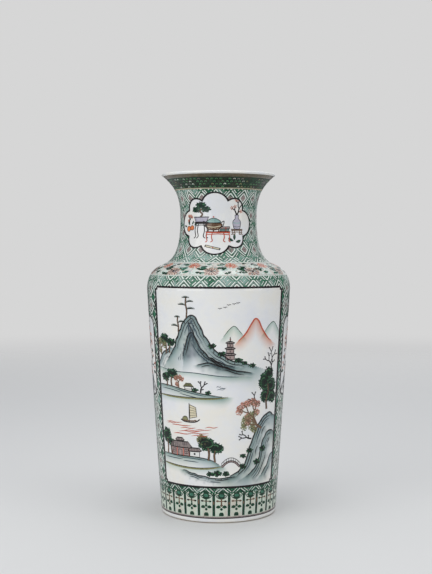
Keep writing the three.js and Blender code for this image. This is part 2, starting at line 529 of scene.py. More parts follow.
def enamel_band(name, low_height, high_height, enamel, relief, step=2.5, edge=0.25):
    """A band of enamel right round the wall, between two heights, with its edges slightly rounded off."""
    low, high = up(low_height), up(high_height)
    along = even([(low + edge, 0), (high - edge, 0)], step)[:, 0]
    face = [on_wall(y, relief) for y in along]
    back = [on_wall(y, BURIED) for y in along[::-1]]
    colour = ENAMELS[enamel]
    turned(name, [on_wall(low, BURIED), *face, on_wall(high, BURIED), *back], colour.material, colour.slot)


# The porcelain

def wall_section(name, low, high, cad_node):
    outline = [*stretch(OUTSIDE, low, high), *stretch(INSIDE, low, high)[::-1]]
    turned(name, outline, GLAZE, "porcelain", cad_node)


def joint_ridge(name, height, cad_node):
    """The rounded ridge of slip that a joint leaves on the inside wall."""
    outline = []
    for share in np.linspace(-1, 1, 9):
        z = height + RIDGE_HALF_HEIGHT * share
        depth = (RIDGE_DEPTH + RIDGE_SINK) * math.cos(share * math.pi / 2)
        outline.append((radius_at(INSIDE, z) + RIDGE_SINK - depth, z))
    turned(name, outline, SLIP, "slip", cad_node)


def fillet(name, corner, hidden, face, cad_node):
    """Slip smeared into a corner. Its hidden points and its hollow face are measured from the corner."""
    def from_corner(points):
        return [(corner[0] + run, corner[1] + rise) for run, rise in points]

    turned(name, [*from_corner(hidden), *map(tuple, bezier(from_corner(face), 6))], SLIP, "slip", cad_node)


def foot_and_floor(foot_joint, floor_joint):
    rest = FOOT_RADIUS - FOOT_BEVEL_WIDTH
    inner = radius_at(OUTSIDE, foot_joint) - FOOT_RING_WIDTH
    bevel = bezier([(rest, 0), (FOOT_RADIUS - 0.5, 0.6), (FOOT_RADIUS, FOOT_BEVEL_HEIGHT)], 12)
    below = map(tuple, bevel[bevel[:, 1] < BARE_EDGE_HIGH])
    above = map(tuple, bevel[bevel[:, 1] > BARE_EDGE_HIGH])
    split = [(radius_at(bevel, BARE_EDGE_HIGH), BARE_EDGE_HIGH)]
    split_inside = (inner, BARE_EDGE_HIGH)
    bare = [*below, *split, split_inside, (inner + FOOT_RING_INSIDE_BEVEL, 0)]
    turned("foot_ring_bare_edge", bare, BARE_CLAY, "biscuit", "foot_ring")
    wall = stretch(OUTSIDE, BEVEL_END, foot_joint)
    turned(
        "foot_ring_glazed", [*split, *above, *wall, (inner, foot_joint), split_inside],
        GLAZE, "porcelain", "foot_ring",
    )
    floor_edge = radius_at(INSIDE, floor_joint)
    floor_middle = floor_joint - FLOOR_DISH
    floor = bezier([(floor_edge, floor_joint), (FLOOR_LEVEL_RADIUS, floor_middle), (0, floor_middle)], 20)
    base = [(0, foot_joint), *stretch(OUTSIDE, foot_joint, floor_joint), *map(tuple, floor)]
    turned("base_glazed", base, GLAZE, "porcelain", "base")
    fillet(
        "base_joint_fillet", (floor_edge, floor_joint),
        [(0.3, -0.3), (0.4, 2.2)], [(0, 2.2), (-0.4, 0.2), (-2.6, -0.1)], "base_slip",
    )
    fillet(
        "foot_joint_fillet", (inner, foot_joint),
        [(0.3, 0.2), (0.3, -2.4)], [(0, -2.4), (-0.3, -0.4), (-2.5, -0.1)], "foot_slip",
    )


def mouth_section(low):
    """The flared mouth, with its lip rolled over the wall."""
    top = node_span("mouth")[1]
    roll_low = LIP_FOOT - LIP_ROLL_DROP
    inside_high = top - LIP_INSIDE_DROP
    roll = [
        (radius_at(OUTSIDE, roll_low), roll_low),
        (MOUTH_RADIUS + 0.4, LIP_FOOT - 0.3),
        (MOUTH_RADIUS + LIP_ROLL, LIP_FOOT + 1.1),
        (MOUTH_RADIUS + 0.3, top - 0.5),
        (MOUTH_RADIUS - LIP_THICKNESS / 2, top),
        (MOUTH_RADIUS - LIP_THICKNESS, top - 0.4),
        (radius_at(INSIDE, inside_high), inside_high),
    ]
    wall = stretch(OUTSIDE, low, roll_low)[:-1]
    back = stretch(INSIDE, low, inside_high)[::-1][1:]
    turned("mouth_glazed", [*wall, *map(tuple, smooth(roll, 0.35)), *back], GLAZE, "porcelain", "mouth")


def porcelain():
    """The thrown sections and the slip between them, each joint midway between two CAD nodes."""
    sections = ("foot_ring", "base", "lower_wall", "upper_wall", "shoulder", "neck", "mouth")
    joints = [(node_span(a)[1] + node_span(b)[0]) / 2 for a, b in zip(sections, sections[1:])]
    foot_and_floor(*joints[:2])
    for section, low, high in zip(sections[2:], joints[1:], joints[2:]):
        wall_section(f"{section}_glazed", low, high, section)
    mouth_section(joints[-1])
    for place, height in zip(("middle", "shoulder", "neck", "mouth"), joints[2:]):
        joint_ridge(f"{place}_joint_ridge", height, f"{place}_slip")


# Painting, drawn flat

def places(piece):
    """The places of a mesh's points, a row for each."""
    flat = np.empty(len(piece.data.vertices) * 3, np.float32)
    piece.data.vertices.foreach_get("co", flat)
    return flat.reshape(-1, 3)


def set_places(piece, rows):
    piece.data.vertices.foreach_set("co", rows.astype(np.float32).ravel())
    piece.data.update()


def wrap(piece, turn_radius):
    """Lays flat work on the wall: x goes round it, y up it and z off the glaze."""
    across, along, off = places(piece).astype(float).T
    radius, height = on_wall(along, off)
    angle = across / turn_radius
    set_places(piece, np.stack([radius * np.sin(angle), -radius * np.cos(angle), height], axis=1) * MM)


def reshape_height(piece, height_of):
    rows = places(piece)
    rows[:, 2] = height_of(rows[:, 2])
    set_places(piece, rows)


def drawing(name, dimensions, **settings):
    curve = bpy.data.curves.new(name, "CURVE")
    curve.dimensions = dimensions
    for setting, value in settings.items():
        setattr(curve, setting, value)
    piece = bpy.data.objects.new(curve.name, curve)
    bpy.context.scene.collection.objects.link(piece)
    return piece


def draw_line(piece, points, closed):
    spline = piece.data.splines.new("POLY")
    spline.points.add(len(points) - 1)
    level = np.zeros(len(points))
    spline.points.foreach_set("co", np.column_stack([points, level, level + 1]).ravel())
    spline.use_cyclic_u = closed
    return spline


def one_mesh(pieces):
    """Turns drawings into meshes and joins them."""
    deselect()
    for piece in pieces:
        piece.select_set(True)
    bpy.context.view_layer.objects.active = pieces[0]
    bpy.ops.object.convert(target="MESH")
    pieces = list(bpy.context.selected_objects)
    bpy.context.view_layer.objects.active = pieces[0]
    if len(pieces) > 1:
        bpy.ops.object.join()
    return bpy.context.view_layer.objects.active


def stroke_mesh(strokes, base, relief):
    """Raised strokes: each is a line of points, the width at each point, and whether it closes."""
    piece = drawing("strokes", "3D", twist_mode="Z_UP", bevel_depth=1, bevel_resolution=0, use_fill_caps=True)
    for points, widths, closed in strokes:
        draw_line(piece, points, closed).points.foreach_set("radius", np.asarray(widths) / 2)
    piece = one_mesh([piece])
    reshape_height(piece, lambda z: np.where(z < -0.01, BURIED, base + relief * np.tanh(0.6 * z / relief)))
    return piece


def score(piece, across, along):
    """Cuts a flat piece along straight lines, so that it can bend round the wall."""
    cuts = [((place, 0, 0), (1, 0, 0)) for place in across] + [((0, place, 0), (0, 1, 0)) for place in along]
    shape(piece, *[lambda cut=cut: bpy.ops.mesh.bisect(plane_co=cut[0], plane_no=cut[1]) for cut in cuts])


def fill_mesh(shapes, top, cuts, across=None, along=None):
    """Filled shapes: each is a list of closed outlines, the first its rim and the others its holes."""
    pieces = []
    for outlines in shapes:
        pieces.append(drawing("fill", "2D", fill_mode="BOTH", extrude=0.1))
        for outline in outlines:
            draw_line(pieces[-1], outline, True)
    piece = one_mesh(pieces)
    shape(piece, lambda: weld(DRAWN_WELD))
    if across is None:
        rim = np.array([point for outlines in shapes for point in outlines[0]])
        across = np.arange(rim[:, 0].min() + cuts[0], rim[:, 0].max() - 1, cuts[0])
        along = np.arange(rim[:, 1].min() + cuts[1], rim[:, 1].max() - 1, cuts[1])
    score(piece, across, along)
    reshape_height(piece, lambda z: np.where(z > 0, top, BURIED))
    return piece


def clipped(path, widths, inside):
    """The parts of a stroke that lie inside an allowed space."""
    along = np.concatenate([[0], np.cumsum(np.linalg.norm(np.diff(path, axis=0), axis=1))])

    def at(distance):
        return np.interp(distance, along, path[:, 0]), np.interp(distance, along, path[:, 1])

    fine = np.linspace(0, along[-1], max(3, int(along[-1] / CLIP_STEP)))
    kept = inside(*at(fine))
    if kept.all():
        return [(path, widths)]
    parts = []
    for run in np.split(np.arange(len(fine)), np.flatnonzero(np.diff(kept.astype(int))) + 1):
        if kept[run[0]] and len(run) > 2:
            start, end = fine[run[0]], fine[run[-1]]
            stops = np.concatenate([[start], along[(along > start) & (along < end)], [end]])
            parts.append((np.column_stack(at(stops)), np.interp(stops, along, widths)))
    return parts


def trimmed(rim, inside):
    """What is left of a small filled shape where an allowed space cuts it."""
    fine = even([*rim, rim[0]], TRIM_STEP)[:-1]
    kept = inside(fine[:, 0], fine[:, 1])
    if kept.all():
        return rim
    if kept.sum() < TRIM_LEAST:
        return []
    middle = fine[kept].mean(axis=0)
    if not inside(middle[:1], middle[1:]).all():
        return []
    inward = middle + np.linspace(1, 0, TRIM_TRIES)[:, None, None] * (fine - middle)
    furthest = inside(inward[..., 0], inward[..., 1]).argmax(axis=0)
    return inward[furthest, np.arange(len(fine))]


def within(x, y, outline):
    """Which points lie within a closed outline."""
    held = np.zeros(np.shape(x), bool)
    for (ax, ay), (bx, by) in zip(outline, np.roll(outline, -1, axis=0)):
        if ay != by:
            held ^= ((ay > y) != (by > y)) & (x < (bx - ax) * (y - ay) / (by - ay) + ax)
    return held


class Painting:
    """Work painted on one part of the wall, gathered by enamel and then laid on."""

    def __init__(
        self, name, turn_radius, middle=(0, 0), inside=None, seed=1, lift=0, cuts=(2.5, 10), limits=None
    ):
        self.name = name
        self.turn_radius = turn_radius
        self.middle = np.array(middle, float)
        self.inside = inside
        self.chance = random.Random(seed)
        self.lift = lift  # how much higher everything lies, over a ground
        self.cuts = cuts  # steps across and along, for bending fills
        self.limits = limits  # half the width and height that fills keep to
        self.strokes = {}
        self.fills = {}
        self.washes = []
        self.hidden = []  # outlines of nearer motifs, which nothing is drawn over

    def near(self, value, spread):
        return value + self.chance.uniform(-spread, spread)

    def line(self, enamel, points, width, tips=(1, 1), soft=True, closed=False, leaf=False):
        """A brush stroke. Its tips are shares of its width, and a leaf swells in the middle."""
        if soft:
            path = smooth(points, SOFT_STEP, closed)
            path = np.vstack([path, path[:1]]) if closed else path
        else:
            path = even([*points, points[0]] if closed else points, STRAIGHT_STEP)
        path = path + self.middle
        share = np.linspace(0, 1, len(path))
        if leaf:
            widths = width * (LEAF_TIP + (1 - LEAF_TIP) * np.sin(math.pi * share) ** 0.7)
        else:
            gained = np.minimum(tips[0] + TAPER * share, tips[1] + TAPER * (1 - share))
            widths = width * np.minimum(1, gained)
        free = self.inside is None and not self.hidden
        parts = [(path, widths)] if free else clipped(path, widths, self.allows)
        for part, part_widths in parts:
            ring = closed and part is path
            stroke = (part[:-1], part_widths[:-1], True) if ring else (part, part_widths, False)
            self.strokes.setdefault(enamel, []).append(stroke)

    def straight(self, enamel, points, width, tips=(1, 1), closed=False):
        """A stroke that goes straight from point to point."""
        self.line(enamel, points, width, tips, soft=False, closed=closed)

    def allows(self, x, y):
        allowed = np.ones(np.shape(x), bool) if self.inside is None else self.inside(x, y)
        for outline in self.hidden:
            allowed &= ~within(x, y, outline)
        return allowed

    def dab(self, enamel, x, y, length, width, turn=0):
        """A short fat touch of the brush."""
        run = length / 2 * math.cos(math.radians(turn))
        rise = length / 2 * math.sin(math.radians(turn))
        self.straight(enamel, [(x - run, y - rise), (x, y), (x + run, y + rise)], width, DAB_TIPS)

    def fill(self, enamel, outline, soft=True):
        rim = smooth(outline, FILL_STEP, closed=True) if soft else np.array(outline, float)
        if self.limits:
            rim = np.clip(rim, -np.array(self.limits), self.limits)
        rim = rim + self.middle
        if self.inside and not self.limits:
            rim = trimmed(rim, self.inside)
        if len(rim):
            self.fills.setdefault(enamel, []).append([rim])

    def lay(self):
        """Lays each enamel on the wall as one piece."""
        for enamel in sorted({*self.strokes, *self.fills}):
            colour = ENAMELS[enamel]
            parts = []
            if enamel in self.fills:
                parts.append(fill_mesh(self.fills[enamel], colour.fill + self.lift, self.cuts))
            if enamel in self.strokes:
                parts.append(stroke_mesh(self.strokes[enamel], colour.base + self.lift, colour.relief))
            piece = one_mesh(parts)
            wrap(piece, self.turn_radius)
            dress(piece, f"{self.name}_{enamel}", colour.material, colour.slot)


class Spot:
    """A place on a painting where a motif is drawn, at its own size and either way round."""

    def __init__(self, painting, x, y, size=1, flip=1):
        self.painting = painting
        self.chance = painting.chance
        self.x = x
        self.y = y
        self.size = size
        self.flip = flip

    def at(self, x, y, size=1, flip=1):
        """Another spot, placed as seen from this one."""
        (x, y), = self.spread([(x, y)])
        return Spot(self.painting, x, y, self.size * size, self.flip * flip)

    def spread(self, points):
        return [(self.x + self.flip * self.size * a, self.y + self.size * b) for a, b in points]

    def line(self, enamel, points, width, *how, **more):
        self.painting.line(enamel, self.spread(points), width, *how, **more)

    def straight(self, enamel, points, width, *how, **more):
        self.painting.straight(enamel, self.spread(points), width, *how, **more)

    def dab(self, enamel, x, y, length, width, turn=0):
        (x, y), = self.spread([(x, y)])
        self.painting.dab(enamel, x, y, length, width, turn if self.flip > 0 else 180 - turn)

    def fill(self, enamel, outline, soft=True):
        self.painting.fill(enamel, self.spread(outline), soft)

    def outlined(self, enamel, outline, width=0.8, soft=True):
        """A filled shape with an ink outline."""
        self.fill(enamel, outline, soft)
        self.line("ink", outline, width, soft=soft, closed=True)

    def shade(self, tint, points, reach, strength=0.8):
        """A wash that starts at a line and fades out on its right-hand side."""
        path = smooth(self.spread(points), WASH_STEP) + self.painting.middle
        wash = (tint, path, reach * self.size, strength, -self.flip, list(self.painting.hidden))
        self.painting.washes.append(wash)

    def puff(self, tint, x, y, reach, strength=0.6):
        """A soft round touch of wash."""
        path = np.array(self.spread([(x, y), (x + 0.1, y)])) + self.painting.middle
        self.painting.washes.append((tint, path, reach * self.size, strength, 0, []))


class Reserve:
    """A space left white in a ground, made of discs and blocks about its middle."""

    def __init__(self, x, y, turn_radius, discs=(), blocks=()):
        self.x = x
        self.y = y
        self.half_turn = math.pi * turn_radius
        self.discs = discs
        self.blocks = blocks

    def holds(self, x, y, margin=0):
        across = (x - self.x + self.half_turn) % (2 * self.half_turn) - self.half_turn
        along = y - self.y
        held = np.zeros(np.shape(across), bool)
        for disc_x, disc_y, radius in self.discs:
            held |= (across - disc_x) ** 2 + (along - disc_y) ** 2 < (radius + margin) ** 2
        for half_width, half_height in self.blocks:
            held |= (abs(across) < half_width + margin) & (abs(along) < half_height + margin)
        return held

    def rim(self):
        """The outline, as seen from the middle, or from corner to corner where it has only blocks."""
        if not self.discs:
            (wide, low), (narrow, high) = self.blocks
            corner = [(wide, low), (narrow, low), (narrow, high)]
            points = []
            for right, top, order in ((1, 1, 1), (-1, 1, -1), (-1, -1, 1), (1, -1, -1)):
                points.extend((self.x + right * x, self.y + top * y) for x, y in corner[::order])
            return np.array(points)
        points = []
        for angle in np.arange(RIM_POINTS) / RIM_POINTS * TURN:
            run, rise = math.cos(angle), math.sin(angle)
            far = 0
            for disc_x, disc_y, radius in self.discs:
                nearest = disc_x * run + disc_y * rise
                left = radius**2 - disc_x**2 - disc_y**2 + nearest**2
                if left > 0:
                    far = max(far, nearest + math.sqrt(left))
            for half_width, half_height in self.blocks:
                sideways = half_width / max(abs(run), LEVEL)
                far = max(far, min(sideways, half_height / max(abs(rise), LEVEL)))
            points.append((self.x + far * run, self.y + far * rise))
        return np.array(points)


# The reserves

def body_reserves():
    middle_y = (up(PANEL_LOW) + up(PANEL_HIGH)) / 2
    half_width = PANEL_HALF_ANGLE * BODY_TURN
    half_height = (up(PANEL_HIGH) - up(PANEL_LOW)) / 2
    notched = [(half_width, half_height - PANEL_NOTCH), (half_width - PANEL_NOTCH, half_height)]
    side_y = (up(SIDE_CARTOUCHE_LOW) + up(SIDE_CARTOUCHE_HIGH)) / 2
    lobes = [(side * 22, end * 37.5, 14.5) for side in (-1, 1) for end in (-1, 1)]
    lobes += [(0, end * 39.5, 20.5) for end in (-1, 1)]

    def spaced(turns, y, *form, **more):
        return [Reserve(turn * BODY_TURN, y, BODY_TURN, *form, **more) for turn in turns]

    panels = spaced((0, math.pi), middle_y, blocks=notched)
    return panels, spaced((math.pi / 2, -math.pi / 2), side_y, lobes, [(36.5, 36)])


def neck_reserves():
    lobes = [(0, -21.7, 19.8), (0, 20.9, 19.3)]
    lobes += [(side * 37.3, 0, 16.9) for side in (-1, 1)]
    lobes += [(side * 26.6, end * 18.8, 13.4) for side in (-1, 1) for end in (-1, 1)]
    middle_y = up(NECK_CARTOUCHE_MIDDLE)
    places_round = [turn * NECK_TURN + NECK_CARTOUCHE_SHIFT for turn in (0, math.pi)]
    return [Reserve(x, middle_y, NECK_TURN, lobes, [(30, 22)]) for x in places_round]


PANELS, SIDE_CARTOUCHES = body_reserves()
NECK_CARTOUCHES = neck_reserves()


def pierced_ground(name, turn_radius, seam, low, high, reserves, across_step, along_cuts):
    """A green ground that goes right round the wall, with its reserves left open."""
    left = seam * turn_radius
    right = left + TURN * turn_radius
    outlines = [[(left, low), (right, low), (right, high), (left, high)]]
    for reserve in reserves:
        rim = reserve.rim()
        while rim[:, 0].min() < left:
            rim = rim + (TURN * turn_radius, 0)
        outlines.append(rim)
    across = np.arange(left + across_step, right - 0.5, across_step)
    green = ENAMELS["ground_green"]
    piece = fill_mesh([outlines], green.fill, None, across, along_cuts)
    wrap(piece, turn_radius)
    shape(piece, lambda: weld(GROUND_WELD * MM), face_outwards)
    dress(piece, name, green.material, green.slot)


def frame_lines(name, turn_radius, reserves, width, side_width=0):
    """The black lines round reserves, with heavier ones down their straight sides if they have a width."""
    painting = Painting(name, turn_radius)
    for reserve in reserves:
        painting.straight("ink", list(reserve.rim()), width, closed=True)
        if side_width:
            across, along = reserve.blocks[0]
            across += (side_width - width) / 2
            for x in (reserve.x - across, reserve.x + across):
                side = [(x, reserve.y - along), (x, reserve.y + along)]
                painting.straight("ink", side, side_width, (0.7, 0.7))
    painting.lay()


# Diaper

def edged(painting, points, width, edge=0.38, enamel="white"):
    """A white line with a black edge on both sides, drawn by a hand that isn't quite steady."""
    points = [(painting.near(x, 0.4), painting.near(y, 0.4)) for x, y in points]
    width *= painting.near(1, 0.12)
    painting.straight(enamel, points, width)
    painting.straight("black", points, width + 2 * edge)


def lozenge(painting, x, y, half_width, half_height, black):
    """A white lozenge with a line and a dot in its darker middle, and a black line round it."""
    def ring(share):
        wide, high = half_width * share, half_height * share
        return [(x, y + high), (x + wide, y), (x, y - high), (x - wide, y)]

    painting.fill("rose", ring(0.84), soft=False)
    for enamel, share, width in (
        ("white", 0.9, 1.8), ("black", 1.12, black), ("ink", 0.68, 0.4), ("aubergine", 0.4, 1),
    ):
        painting.straight(enamel, ring(share), width, closed=True)
    painting.dab("ink", x, y, 1.2, 1)


# Strokes in a cell of green, in shares along the cell's two slanting ways.
KEY = (
    ((-0.3, 0.3), (0.12, 0.3)),
    ((0.3, 0.3), (0.3, -0.12)),
    ((0.3, -0.3), (-0.12, -0.3)),
    ((-0.3, 0.08), (-0.3, -0.3)),
    ((-0.07, 0), (0.09, 0)),
)
BROAD_ANGLE = (((-0.24, 0.24), (0.24, 0.24), (0.24, -0.2)),)


def fret_cell(painting, x, y, run, rise, bold):
    """A key of white strokes, or a single broad angle in its place."""
    for stroke in BROAD_ANGLE if bold else KEY:
        points = [(x + (p + q) * run, y + (p - q) * rise) for p, q in stroke]
        edged(painting, points, *((1.8, 0.9) if bold else (1.1,)))


def diaper(painting, count, row_height, start, high, bold_below=0):
    """A trellis of slanting bars round the wall from one lozenge on, with lozenges and keys in turn.

    Below one distance up the wall it is drawn with a broader brush."""
    run = math.pi * painting.turn_radius / count
    rise = row_height / 2
    top_row = math.ceil((high - start[1]) / rise) + 1
    for row in range(-3, top_row + 1):
        for column in range(2 * count):
            x = start[0] + column * run
            y = start[1] + row * rise
            bold = y < bold_below
            if (row + column) % 2:
                over = (column // 2) % 2 == row % 2
                bar = (0.0, 0.84) if over else (0.16, 1.0)
                brush = (1.55,)
                if bold:
                    brush = (2.4, 1.1, "white") if over else (1.6, 0.9, "pale_green")
                for way in (1, -1):
                    s, e = bar if way == 1 else (1 - bar[1], 1 - bar[0])
                    slant = [(x + run * s, y + way * rise * s), (x + run * e, y + way * rise * e)]
                    edged(painting, slant, *brush)
            elif row % 2:
                fret_cell(painting, x, y, run, rise, bold)
            else:
                lozenge(painting, x, y, run * 0.62, rise * 0.6, 1.4 if bold else 0.75)


def diaper_space(low, high, reserves):
    """Where diaper may go: between two distances up the wall and outside its reserves."""
    def inside(x, y):
        free = (y > low) & (y < high)
        for reserve in reserves:
            free &= ~reserve.holds(x, y, FRAME_LINE * 0.4)
        return free

    return inside


def body_diaper():
    low, high = up(PANEL_LOW) + 0.3, up(BODY_DIAPER_HIGH) - 0.4
    ground_low, ground_high = up(LAPPET_HIGH), up(BODY_DIAPER_HIGH)
    reserves = [*PANELS, *SIDE_CARTOUCHES]
    bend = up(BODY_BEND)
    cuts = [*np.arange(ground_low + 8, bend, 8), *np.arange(bend, high, 2)]
    pierced_ground("body_ground", BODY_TURN, BODY_SEAM, ground_low, ground_high, reserves, 5, cuts)
    painting = Painting("body_diaper", BODY_TURN, inside=diaper_space(low, high, reserves), seed=3)
    diaper(painting, BODY_LOZENGES, BODY_LOZENGE_HEIGHT, (0, low + 2.1), high, up(PANEL_HIGH) - 5)
    painting.lay()
    frame_lines("panel_frame", BODY_TURN, PANELS, FRAME_LINE, FRAME_SIDE_LINE)
    frame_lines("side_cartouche_frame", BODY_TURN, SIDE_CARTOUCHES, FRAME_LINE, FRAME_SIDE_LINE)


def neck_diaper():
    ground_low, ground_high = up(FLOWER_HIGH), up(NECK_LINE)
    low, high = ground_low + 0.4, ground_high - 0.6
    cuts = np.arange(ground_low + 3, high, 3)
    pierced_ground("neck_ground", NECK_TURN, NECK_SEAM, ground_low, ground_high, NECK_CARTOUCHES, 3.5, cuts)
    painting = Painting("neck_diaper", NECK_TURN, inside=diaper_space(low, high, NECK_CARTOUCHES), seed=4)
    diaper(painting, NECK_LOZENGES, NECK_LOZENGE_HEIGHT, (NECK_LOZENGE_SHIFT, up(NECK_LOZENGE_ROW)), high)
    painting.lay()
    frame_lines("neck_cartouche_frame", NECK_TURN, NECK_CARTOUCHES, NECK_FRAME_LINE)


# Bands

ARC_ANGLES = np.linspace(0.05, math.pi - 0.05, 6)


def mouth_band():
    """Rows of small scales, most of them with a pale curl in it."""
    enamel_band("mouth_ground", NECK_LINE, MOUTH_BAND_HIGH, "mouth_green", 0.1)
    enamel_band("neck_line", NECK_LINE - 0.6, NECK_LINE + 0.6, "cream", 0.3)
    enamel_band("neck_line_low_edge", NECK_LINE - 1.05, NECK_LINE - 0.5, "bark", 0.22)
    enamel_band("neck_line_high_edge", NECK_LINE + 0.5, NECK_LINE + 1.05, "bark", 0.22)
    # A brown line under the lip, partly a rim line and partly a painted shadow under the lip roll.
    enamel_band("lip_line_and_shade", MOUTH_BAND_HIGH - 0.2, LIP_FOOT - LIP_ROLL_DROP, "lip_brown_and_shade", 0.14)
    painting = Painting("mouth_scales", MOUTH_TURN, seed=5, lift=0.03)
    low, high = up(NECK_LINE) + 1, up(MOUTH_BAND_HIGH) - 0.6
    step = TURN * MOUTH_TURN / MOUTH_SCALES
    row_height = (high - low) / MOUTH_SCALE_ROWS
    curls = [*["leaf_light"] * 6, "aubergine", "olive", "pale_green", None, None, None]
    for row in range(MOUTH_SCALE_ROWS):
        for column in range(MOUTH_SCALES):
            x = (column + 0.5 * (row % 2)) * step
            y = low + row * row_height + 0.2

            def arc(share):
                half_width, rise = step / 2 * share, row_height * 0.85 * share
                return [around(x, y, half_width, rise, angle) for angle in ARC_ANGLES]

            painting.straight("black", arc(0.96), 0.65)
            curl = painting.chance.choice(curls)
            if curl:
                painting.straight(curl, arc(0.55), painting.chance.uniform(0.6, 1.05), (0.4, 0.4))
    painting.lay()


def chevron_band():
    """White roofs over the lappets, with dark strokes between."""
    painting = Painting("chevrons", FOOT_TURN, middle=(0, up(LAPPET_HIGH)), seed=6)
    height = up(PANEL_LOW) - up(LAPPET_HIGH)
    step = TURN * FOOT_TURN / CHEVRONS
    for chevron in range(CHEVRONS):
        x = CHEVRON_SHIFT + chevron * step
        for side in (-1, 1):
            across = side * step
            edged(painting, [(x + side * 0.5, height - 1.6), (x + across * 0.3, 1.0)], 1.1)
            edged(painting, [(x + across * 0.22, height - 1.5), (x + across * 0.46, 1.6)], 0.85)
            painting.straight("black", [(x + across * 0.36, height - 1), (x + across * 0.5, 2)], 0.6)
            under = [(x + side * 0.4, height - 4.2), (x + across * 0.22, 0.8), (x + across * 0.38, 0.3)]
            painting.straight("leaf_green", under, 2.2)
            painting.dab("leaf_green", x + across * 0.43, height - 1.6, 4.6, 2.6)
        gem = [(x, height - 3.6), (x + 1.6, height - 5.4), (x, height - 7.0), (x - 1.6, height - 5.4)]
        painting.straight("black", gem, 0.5, closed=True)
    painting.lay()


LAPPET_HEAD = [
    (-7.2, -2.8), (-6, -5.4), (-3.2, -7.2), (0, -8.2), (3.2, -7.2), (6, -5.4),
    (7.2, -2.8), (4.2, -2.2), (2.9, 1.2), (0, 2.6), (-2.9, 1.2), (-4.2, -2.2),
]
LAPPET_MOUND = [(-3, 0.3), (-3, 3.1), (-1.7, 5.1), (1.7, 5.1), (3, 3.1), (3, 0.3)]


def lappet(painting, x, height, half_step):
    """The bar on one side of an upright panel, and the panel's green head, stem with leaves and mound."""
    bar = Spot(painting, x + half_step, 0)
    bar.line("leaf_green", [(0, 0.3), (0, height * 0.5), (0, height)], painting.near(2.9, 0.2))
    bar.line("bark", [(0, height * 0.5), (0, height * painting.near(0.7, 0.08))], 1.6, (0.5, 0.5))
    for side in (bar.at(0, 0, flip=-1), bar):
        side.straight("black", [(1.5, 0.2), (1.5, height - 3)], 0.5)
        side.straight("white", [(2.2, 0.6), (2.2, height - 3.4)], 0.6)
        side.line("leaf_green", [(-1.3, height - 3.4), (-2.4, height - 1.3), (-4.8, height + 0.1)], 1.3)
    head = Spot(painting, x, height)
    head.fill("leaf_green", LAPPET_HEAD)
    head.dab("teal_leaf", 0, -2.9, 5.4, 5.6)
    head.line("ink", [(-3.8, -4.4), (0, -6.4), (3.8, -4.4)], 0.6)
    head.line("ink", [(-1.5, -0.8), (0, 0.7), (1.5, -0.8)], 0.45)
    stem = painting.chance.choice(["leaf_green", "leaf_green", "bark"])
    head.straight(stem, [(0, -7), (0, -17.5)], 1.8, (0.7, 0.7))
    head.straight("bark", [(-4, -10.3), (4, -10.3)], 1.2)
    for way in (-1, 1):
        side = head.at(0, 0, flip=way)
        side.line("white", [(3.4, -4.6), (5.6, -4.4), (5.4, -3)], 0.55)
        berry = painting.chance.choice(["bark", "black", "leaf_green"])
        head.dab(berry, way * 4.9, -painting.near(10.3, 0.3), 3.7, 2.8)
        side.line("leaf_green", [(0.9, -18.4), (3.9, -17.6), (7, -18.5)], painting.near(4.2, 0.3), leaf=True)
    head.line("leaf_green", [(0, -14), (0, -15.7), (0, -17.4)], 3.4, leaf=True)
    head.line("leaf_green", [(0, -18.9), (0, -20.8), (0, -22.7)], 3.7, leaf=True)
    head.dab("white", 0, -18.2, 1.3, 1.2)
    foot = Spot(painting, x, 0)
    foot.fill("leaf_green", LAPPET_MOUND, soft=False)
    foot.line("ink", [(-1.6, 1.2), (0, 3.4), (1.6, 1.2)], 0.45)


def lappet_band():
    enamel_band("lappet_ground", LAPPET_LOW - 0.7, LAPPET_HIGH + 0.4, "pale_green", 0.08)
    enamel_band("foot_line", FOOT_LINE_LOW, LAPPET_LOW - BAND_GAP, "aubergine", 0.12)
    enamel_band("foot_line_edge", FOOT_LINE_LOW, FOOT_LINE_LOW + FOOT_LINE_DARK, "black", 0.16)
    painting = Painting("lappets", FOOT_TURN, middle=(0, up(LAPPET_LOW)), seed=7, lift=0.06)
    height = up(LAPPET_HIGH) - up(LAPPET_LOW)
    step = TURN * FOOT_TURN / LAPPETS
    for place in range(LAPPETS):
        lappet(painting, LAPPET_SHIFT + place * step, height, step / 2)
    painting.lay()


# The three rings of petals of a flower, outermost first: how far out, how many and how wide.
PETAL_RINGS = ((1.0, 13, 0.34), (0.72, 10, 0.36), (0.42, 6, 0.32))


def flower(painting, x, y, size, petals, shade):
    """An open flower with fine veins and a dark heart."""
    for ring, (share, count, width) in enumerate(PETAL_RINGS):
        for petal in range(count):
            angle = TURN * (petal + 0.5 * (ring % 2)) / count + painting.near(0, 0.08)
            run, rise = math.cos(angle), math.sin(angle) * 0.8
            outer = size * share * painting.near(1, 0.06)
            inner = size * max(0, share - 0.42)
            tip = (x + outer * run, y + outer * rise)
            root = (x + inner * run, y + inner * rise)
            middle = ((tip[0] + root[0]) / 2, (tip[1] + root[1]) / 2)
            short_tip = (tip[0] - run * 0.5, tip[1] - rise * 0.5)
            painting.line("petal_edge", [root, middle, tip], size * width * 1.12, leaf=True)
            painting.line(petals, [root, middle, short_tip], size * width * 0.74, leaf=True)
            painting.straight(shade, [root, middle], 0.75, (1, 0.4))
    painting.dab(shade, x, y, size * 0.3, size * 0.26)


def leaf(painting, x, y, length, turn, enamel="leaf_green"):
    """A green leaf with a dark midrib."""
    angle = math.radians(turn)
    run, rise = math.cos(angle), math.sin(angle)
    bend = painting.near(0, length * 0.12)
    spine = []
    for share in (0, 0.35, 0.7, 1):
        sideways = bend * math.sin(math.pi * share)
        spine.append((x + run * length * share - rise * sideways, y + rise * length * share + run * sideways))
    painting.line(enamel, spine, length * 0.48, leaf=True)
    painting.line("ink", spine[:3], 0.45, (1, 0.3))


